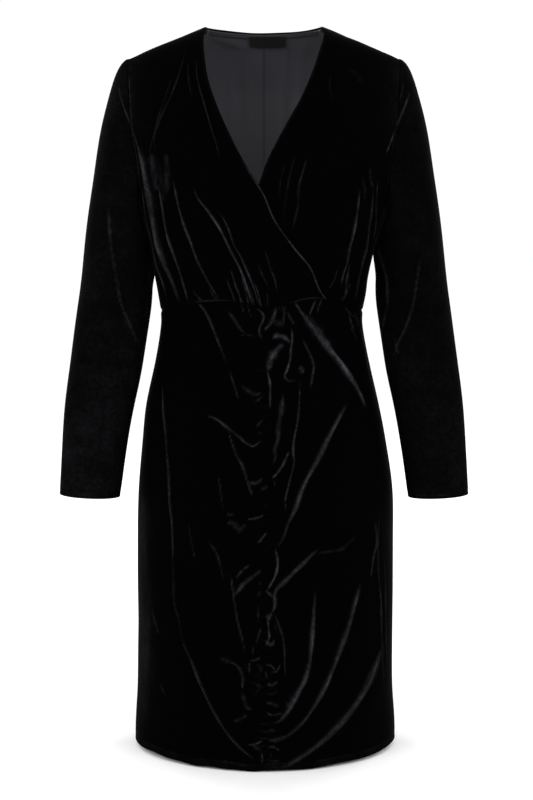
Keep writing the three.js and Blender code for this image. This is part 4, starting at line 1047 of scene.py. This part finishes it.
def back_neck_tape():
    """The folded tape that covers the back neck seam, with painted shade lines along its two edges."""
    columns = 0.5 + (crowded(110) - 0.5) * TAPE_REACH
    plain = bodice_back(columns, TAPE_LOW + (TAPE_HIGH - TAPE_LOW) * np.linspace(0, 1, 15))
    low, high = walked(plain, 0)
    lift = roll(np.minimum(low, high), 0.7)
    # Painted shade: dark lines along the tape's lower and upper edges.
    shade = 0.95 * bell(low, 0, 1.7) + 0.8 * bell(high, 0, 1.2)
    return cloth("back_neck_tape_cloth", plain, -lift, shade, -1, TAPE_THICK, TAPE_INSET)


def neck_label():
    """The bare woven label, its lower corners lifted a little."""
    x = np.linspace(LABEL_LEFT, LABEL_RIGHT, 61)[None, :]
    middle, half = (LABEL_LEFT + LABEL_RIGHT) / 2, (LABEL_RIGHT - LABEL_LEFT) / 2
    low = LABEL_LOW + 1.6 * ((x - middle) / half) ** 4
    z = low + (LABEL_HIGH - low) * np.linspace(0, 1, 25)[:, None]
    x = x + 0 * z
    plain = np.stack([x, depth_at(x, z, BACK), z], axis=-1)
    return cloth("neck_label_cloth", plain, 0 * x, 0 * x, -1, LABEL_THICK, LABEL_INSET)


# ---- materials -----------------------------------------------------------------------------------
def linear(code):
    """An sRGB hex colour as linear red, green, blue and 1."""
    parts = np.array([int(code[k : k + 2], 16) for k in (1, 3, 5)]) / 255
    low, high = parts / 12.92, ((parts + 0.055) / 1.055) ** 2.4
    return (*np.where(parts <= 0.04045, low, high), 1.0)


def add(tree, kind, inputs=None, **settings):
    """Adds a node, gives it its settings, and sets or links its inputs."""
    node = tree.nodes.new(kind)
    for name, value in settings.items():
        setattr(node, name, value)
    for name, value in (inputs or {}).items():
        if isinstance(value, bpy.types.NodeSocket):
            tree.links.new(value, node.inputs[name])
        else:
            node.inputs[name].default_value = value
    return node


def material(name, surface):
    """A new material; surface builds its shader from the place on the object."""
    made = bpy.data.materials.new(name)
    made.use_nodes = True
    tree = made.node_tree
    tree.nodes.clear()
    shader = surface(tree, add(tree, "ShaderNodeTexCoord").outputs["Object"])
    add(tree, "ShaderNodeOutputMaterial", {"Surface": shader.outputs[0]})
    return made


def stretch_velvet(tree, place):
    """Polyester stretch velvet: a knitted ground with a short, dense cut pile, dyed black. The pile
    swallows light seen straight on and glows at the rims by its sheen. Along the folds a grainy grey
    sheen highlight is painted into its colour."""
    # The pile tufts are 0.3 mm apart, too fine to show, so the grain is drawn at 1.4 mm.
    fine = {"Vector": place, "Scale": 700.0, "Detail": 2.0, "Roughness": 0.6}
    grain = add(tree, "ShaderNodeTexNoise", fine)
    # Tufts clump a few millimetres across, and patches of pile lean different ways; these clouds break up
    # the painted highlight.
    clump = add(tree, "ShaderNodeTexNoise", {"Vector": place, "Scale": 190.0, "Detail": 2.0})
    nap = add(tree, "ShaderNodeTexNoise", {"Vector": place, "Scale": 42.0, "Detail": 2.0})
    painted_share = add(tree, "ShaderNodeAttribute", attribute_name="painted_light").outputs["Fac"]
    for cloud, swing in ((grain, 0.22), (clump, 0.22), (nap, 0.2)):
        middle = {"Value": cloud.outputs["Fac"], "From Min": 0.34, "From Max": 0.66}
        share = add(tree, "ShaderNodeMapRange", {**middle, "To Min": 1 - swing, "To Max": 1 + swing})
        painted_share = add(tree, "ShaderNodeMath", {0: painted_share, 1: share.outputs[0]}, operation="MULTIPLY")
        painted_share = painted_share.outputs[0]
    # Painted sheen highlight: the grey rises with a power of the painted amount, so that a slight one
    # shows little.
    painted_share = add(tree, "ShaderNodeMath", {0: painted_share, 1: 1.6}, operation="POWER").outputs[0]
    greys = {0: painted_share, 6: linear("#010101"), 7: linear("#3b3a3f")}
    colour = add(tree, "ShaderNodeMix", greys, data_type="RGBA")
    relief = {"Height": grain.outputs["Fac"], "Strength": 0.3, "Distance": 0.0005}
    finish = {
        "Base Color": colour.outputs[2],
        "Roughness": 0.95,
        "IOR": 1.45,
        "Specular IOR Level": 0.012,
        "Sheen Weight": 0.026,
        "Sheen Roughness": 0.24,
        "Sheen Tint": linear("#cbcbce"),
        "Normal": add(tree, "ShaderNodeBump", relief).outputs[0],
    }
    return add(tree, "ShaderNodeBsdfPrincipled", finish)


def velvet_ground(tree, place):
    """The back of the velvet: a fine warp knit in black polyester, flat and dull, with faint ribs
    along the length."""
    # The knit's wales are 0.7 mm apart, drawn at 1.4 mm so that they show.
    knit = {"Vector": place, "Scale": 110.0, "Distortion": 0.6, "Detail": 1.0}
    wales = add(tree, "ShaderNodeTexWave", knit, bands_direction="X").outputs["Fac"]
    relief = {"Height": wales, "Strength": 0.3, "Distance": 0.0004}
    finish = {
        "Base Color": linear("#1b1b1d"),
        "Roughness": 0.85,
        "Specular IOR Level": 0.2,
        "Sheen Weight": 0.1,
        "Normal": add(tree, "ShaderNodeBump", relief).outputs[0],
    }
    return add(tree, "ShaderNodeBsdfPrincipled", finish)


def lining_jersey(tree, place):
    """Polyester lining jersey, charcoal: a smooth, slightly slippery knit with a soft broad gloss
    and wales that run down its length."""
    # Wales 0.5 mm apart, drawn at 1.2 mm so that they show.
    knit = {"Vector": place, "Scale": 130.0, "Distortion": 0.4, "Detail": 1.0}
    wales = add(tree, "ShaderNodeTexWave", knit, bands_direction="X").outputs["Fac"]
    # Painted shade: the colour is darker near the neck seam and lighter down the back, against the light
    # that falls brighter at the top.
    height = add(tree, "ShaderNodeSeparateXYZ", {"Vector": place}).outputs["Z"]
    painted_shade_fall = {"Value": height, "From Min": -0.2, "From Max": -0.03, "To Min": 1.0, "To Max": 0.0}
    depth = add(tree, "ShaderNodeMapRange", painted_shade_fall).outputs[0]
    greys = {0: depth, 6: linear("#3a393f"), 7: linear("#5a585f")}
    colour = add(tree, "ShaderNodeMix", greys, data_type="RGBA").outputs[2]
    # Painted shade: creases and the seam are mixed toward near black.
    crease = add(tree, "ShaderNodeAttribute", attribute_name="painted_light").outputs["Fac"]
    crease_painted_shade = {0: crease, 6: colour, 7: linear("#100f12")}
    relief = {"Height": wales, "Strength": 0.2, "Distance": 0.0003}
    finish = {
        "Base Color": add(tree, "ShaderNodeMix", crease_painted_shade, data_type="RGBA").outputs[2],
        "Roughness": 0.62,
        "Specular IOR Level": 0.3,
        "Sheen Weight": 0.1,
        "Normal": add(tree, "ShaderNodeBump", relief).outputs[0],
    }
    return add(tree, "ShaderNodeBsdfPrincipled", finish)


def neck_twill(tree, place):
    """Cotton twill neck tape, dark grey: a dull weave with fine slanting ribs."""
    # Twill ribs 0.8 mm apart.
    weave = {"Vector": place, "Scale": 200.0, "Distortion": 0.2}
    ribs = add(tree, "ShaderNodeTexWave", weave, bands_direction="DIAGONAL").outputs["Fac"]
    greys = {0: ribs, 6: linear("#38373c"), 7: linear("#47464c")}
    colour = add(tree, "ShaderNodeMix", greys, data_type="RGBA").outputs[2]
    # Painted shade: its two edges are mixed toward near black.
    edge = add(tree, "ShaderNodeAttribute", attribute_name="painted_light").outputs["Fac"]
    edge_painted_shade = {0: edge, 6: colour, 7: linear("#0e0e10")}
    relief = {"Height": ribs, "Strength": 0.3, "Distance": 0.0003}
    finish = {
        "Base Color": add(tree, "ShaderNodeMix", edge_painted_shade, data_type="RGBA").outputs[2],
        "Roughness": 0.8,
        "Specular IOR Level": 0.2,
        "Normal": add(tree, "ShaderNodeBump", relief).outputs[0],
    }
    return add(tree, "ShaderNodeBsdfPrincipled", finish)


def damask_label(tree, place):
    """Woven damask label cloth, black and bare: a close satin weave with a low gloss."""
    # Satin picks 0.3 mm apart, drawn at 0.8 mm so that they show.
    weave = {"Vector": place, "Scale": 220.0, "Distortion": 0.3}
    picks = add(tree, "ShaderNodeTexWave", weave, bands_direction="Z").outputs["Fac"]
    blacks = {0: picks, 6: linear("#121213"), 7: linear("#1c1c1e")}
    colour = add(tree, "ShaderNodeMix", blacks, data_type="RGBA").outputs[2]
    finish = {"Base Color": colour, "Roughness": 0.55, "Specular IOR Level": 0.3}
    return add(tree, "ShaderNodeBsdfPrincipled", finish)


def studio_paper(tree, place):
    """White studio paper on a board, dead matt, with painted shade: a shade greyer near the dress, white
    further off.
    """
    away = add(tree, "ShaderNodeVectorMath", {0: place}, operation="LENGTH").outputs["Value"]
    fade = {"Value": away, "From Min": 1.05, "From Max": 1.5, "To Min": 0.0, "To Max": 1.0}
    shade_fade = add(tree, "ShaderNodeMapRange", fade).outputs[0]
    # Painted shade: greyer within about a metre of the dress.
    whites = {0: shade_fade, 6: linear("#f6f6f6"), 7: linear("#ffffff")}
    colour = add(tree, "ShaderNodeMix", whites, data_type="RGBA").outputs[2]
    finish = {"Base Color": colour, "Roughness": 1.0, "Specular IOR Level": 0.0}
    return add(tree, "ShaderNodeBsdfPrincipled", finish)


# ---- the dress -----------------------------------------------------------------------------------
VELVET = material("stretch_velvet_black", stretch_velvet)
GROUND = material("velvet_knit_ground", velvet_ground)
LINING = material("lining_jersey_charcoal", lining_jersey)
TAPE = material("neck_twill_grey", neck_twill)
LABEL = material("damask_label_black", damask_label)
# Outer and inner material of each slot.
FABRICS = {
    "velvet": (VELVET, GROUND),
    "lining": (LINING, LINING),
    "tape": (TAPE, TAPE),
    "label": (LABEL, LABEL),
}
# Each row: maker, node it stands for, slot, flat width, length and area in metres, and how the
# cloth is held.
CUTS = (
    (front_bodice_right, "front_bodice_right", "velvet", 0.33, 0.42, 0.085, "draped"),
    (front_bodice_left, "front_bodice_left", "velvet", 0.33, 0.42, 0.085, "draped"),
    (back_bodice, "back_bodice", "velvet", 0.46, 0.42, 0.145, "draped"),
    (lambda: front_skirt(-1), "front_skirt_right", "velvet", 0.26, 0.72, 0.150, "gathered"),
    (lambda: front_skirt(1), "front_skirt_left", "velvet", 0.26, 0.72, 0.150, "gathered"),
    (back_skirt, "back_skirt", "velvet", 0.46, 0.62, 0.270, "hung"),
    (lambda: sleeve(-1), "sleeve_right", "velvet", 0.36, 0.61, 0.150, "hung"),
    (lambda: sleeve(1), "sleeve_left", "velvet", 0.36, 0.61, 0.150, "hung"),
    (lambda: back_lining(-1), "back_lining_right", "lining", 0.21, 0.37, 0.066, "hung"),
    (lambda: back_lining(1), "back_lining_left", "lining", 0.21, 0.37, 0.066, "hung"),
    (back_neck_tape, "back_neck_tape", "tape", 0.155, 0.01, 0.0014, "draped"),
    (neck_label, "neck_label", "label", 0.049, 0.0165, 0.0008, "draped"),
)
for make, node, slot, width, length, area, held in CUTS:
    piece = make()
    for fabric in FABRICS[slot]:
        piece.data.materials.append(fabric)
    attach(piece, "root")
    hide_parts(node)


# ---- studio --------------------------------------------------------------------------------------
def studio_floor():
    """A wide pale floor just under the hem."""
    mesh = bpy.data.meshes.new("studio_floor")
    far, low = FLOOR_HALF, FLOOR_HEIGHT
    corners = [(-far, -far, low), (far, -far, low), (far, far, low), (-far, far, low)]
    mesh.from_pydata(corners, [], [(0, 1, 2, 3)])
    mesh.materials.append(material("studio_paper_white", studio_paper))
    floor = bpy.data.objects.new("studio_floor", mesh)
    bpy.context.collection.objects.link(floor)


def softbox(name, place, target, width, height, power):
    """A soft rectangular light turned toward a target."""
    light = bpy.data.lights.new(name, "AREA")
    light.shape = "RECTANGLE"
    light.size, light.size_y, light.energy = width, height, power
    lamp = bpy.data.objects.new(name, light)
    bpy.context.collection.objects.link(lamp)
    lamp.location = place
    away = lamp.location - Vector(target)
    lamp.rotation_euler = away.to_track_quat("Z", "Y").to_euler()


def studio_air(level):
    """Even white surroundings."""
    world = bpy.data.worlds.new("studio_air")
    bpy.context.scene.world = world
    world.use_nodes = True
    world.node_tree.nodes["Background"].inputs["Color"].default_value = (1, 1, 1, 1)
    world.node_tree.nodes["Background"].inputs["Strength"].default_value = level


def studio_camera():
    """Level with the chest, straight ahead of the dress and tilted down a little."""
    data = bpy.data.cameras.new("studio_camera")
    data.sensor_width, data.lens = 36, 90.2
    camera = bpy.data.objects.new("studio_camera", data)
    bpy.context.collection.objects.link(camera)
    camera.location = CAMERA_PLACE
    camera.rotation_euler = (math.pi / 2 - math.atan(CAMERA_AIM), 0, 0)
    bpy.context.scene.camera = camera


studio_floor()
studio_air(1.03)
softbox("key_left", (-1.9, -1.9, 0.9), KEY_TARGET, 1.2, 1.6, 26)
softbox("key_right", (1.9, -1.7, 0.7), KEY_TARGET, 1.2, 1.6, 22)
softbox("rear_left", (-1.6, 1.8, 0.6), REAR_TARGET, 1.0, 1.6, 19)
softbox("rear_right", (1.6, 1.8, 0.6), REAR_TARGET, 1.0, 1.6, 19)
studio_camera()
bpy.context.scene.view_settings.view_transform = "Standard"
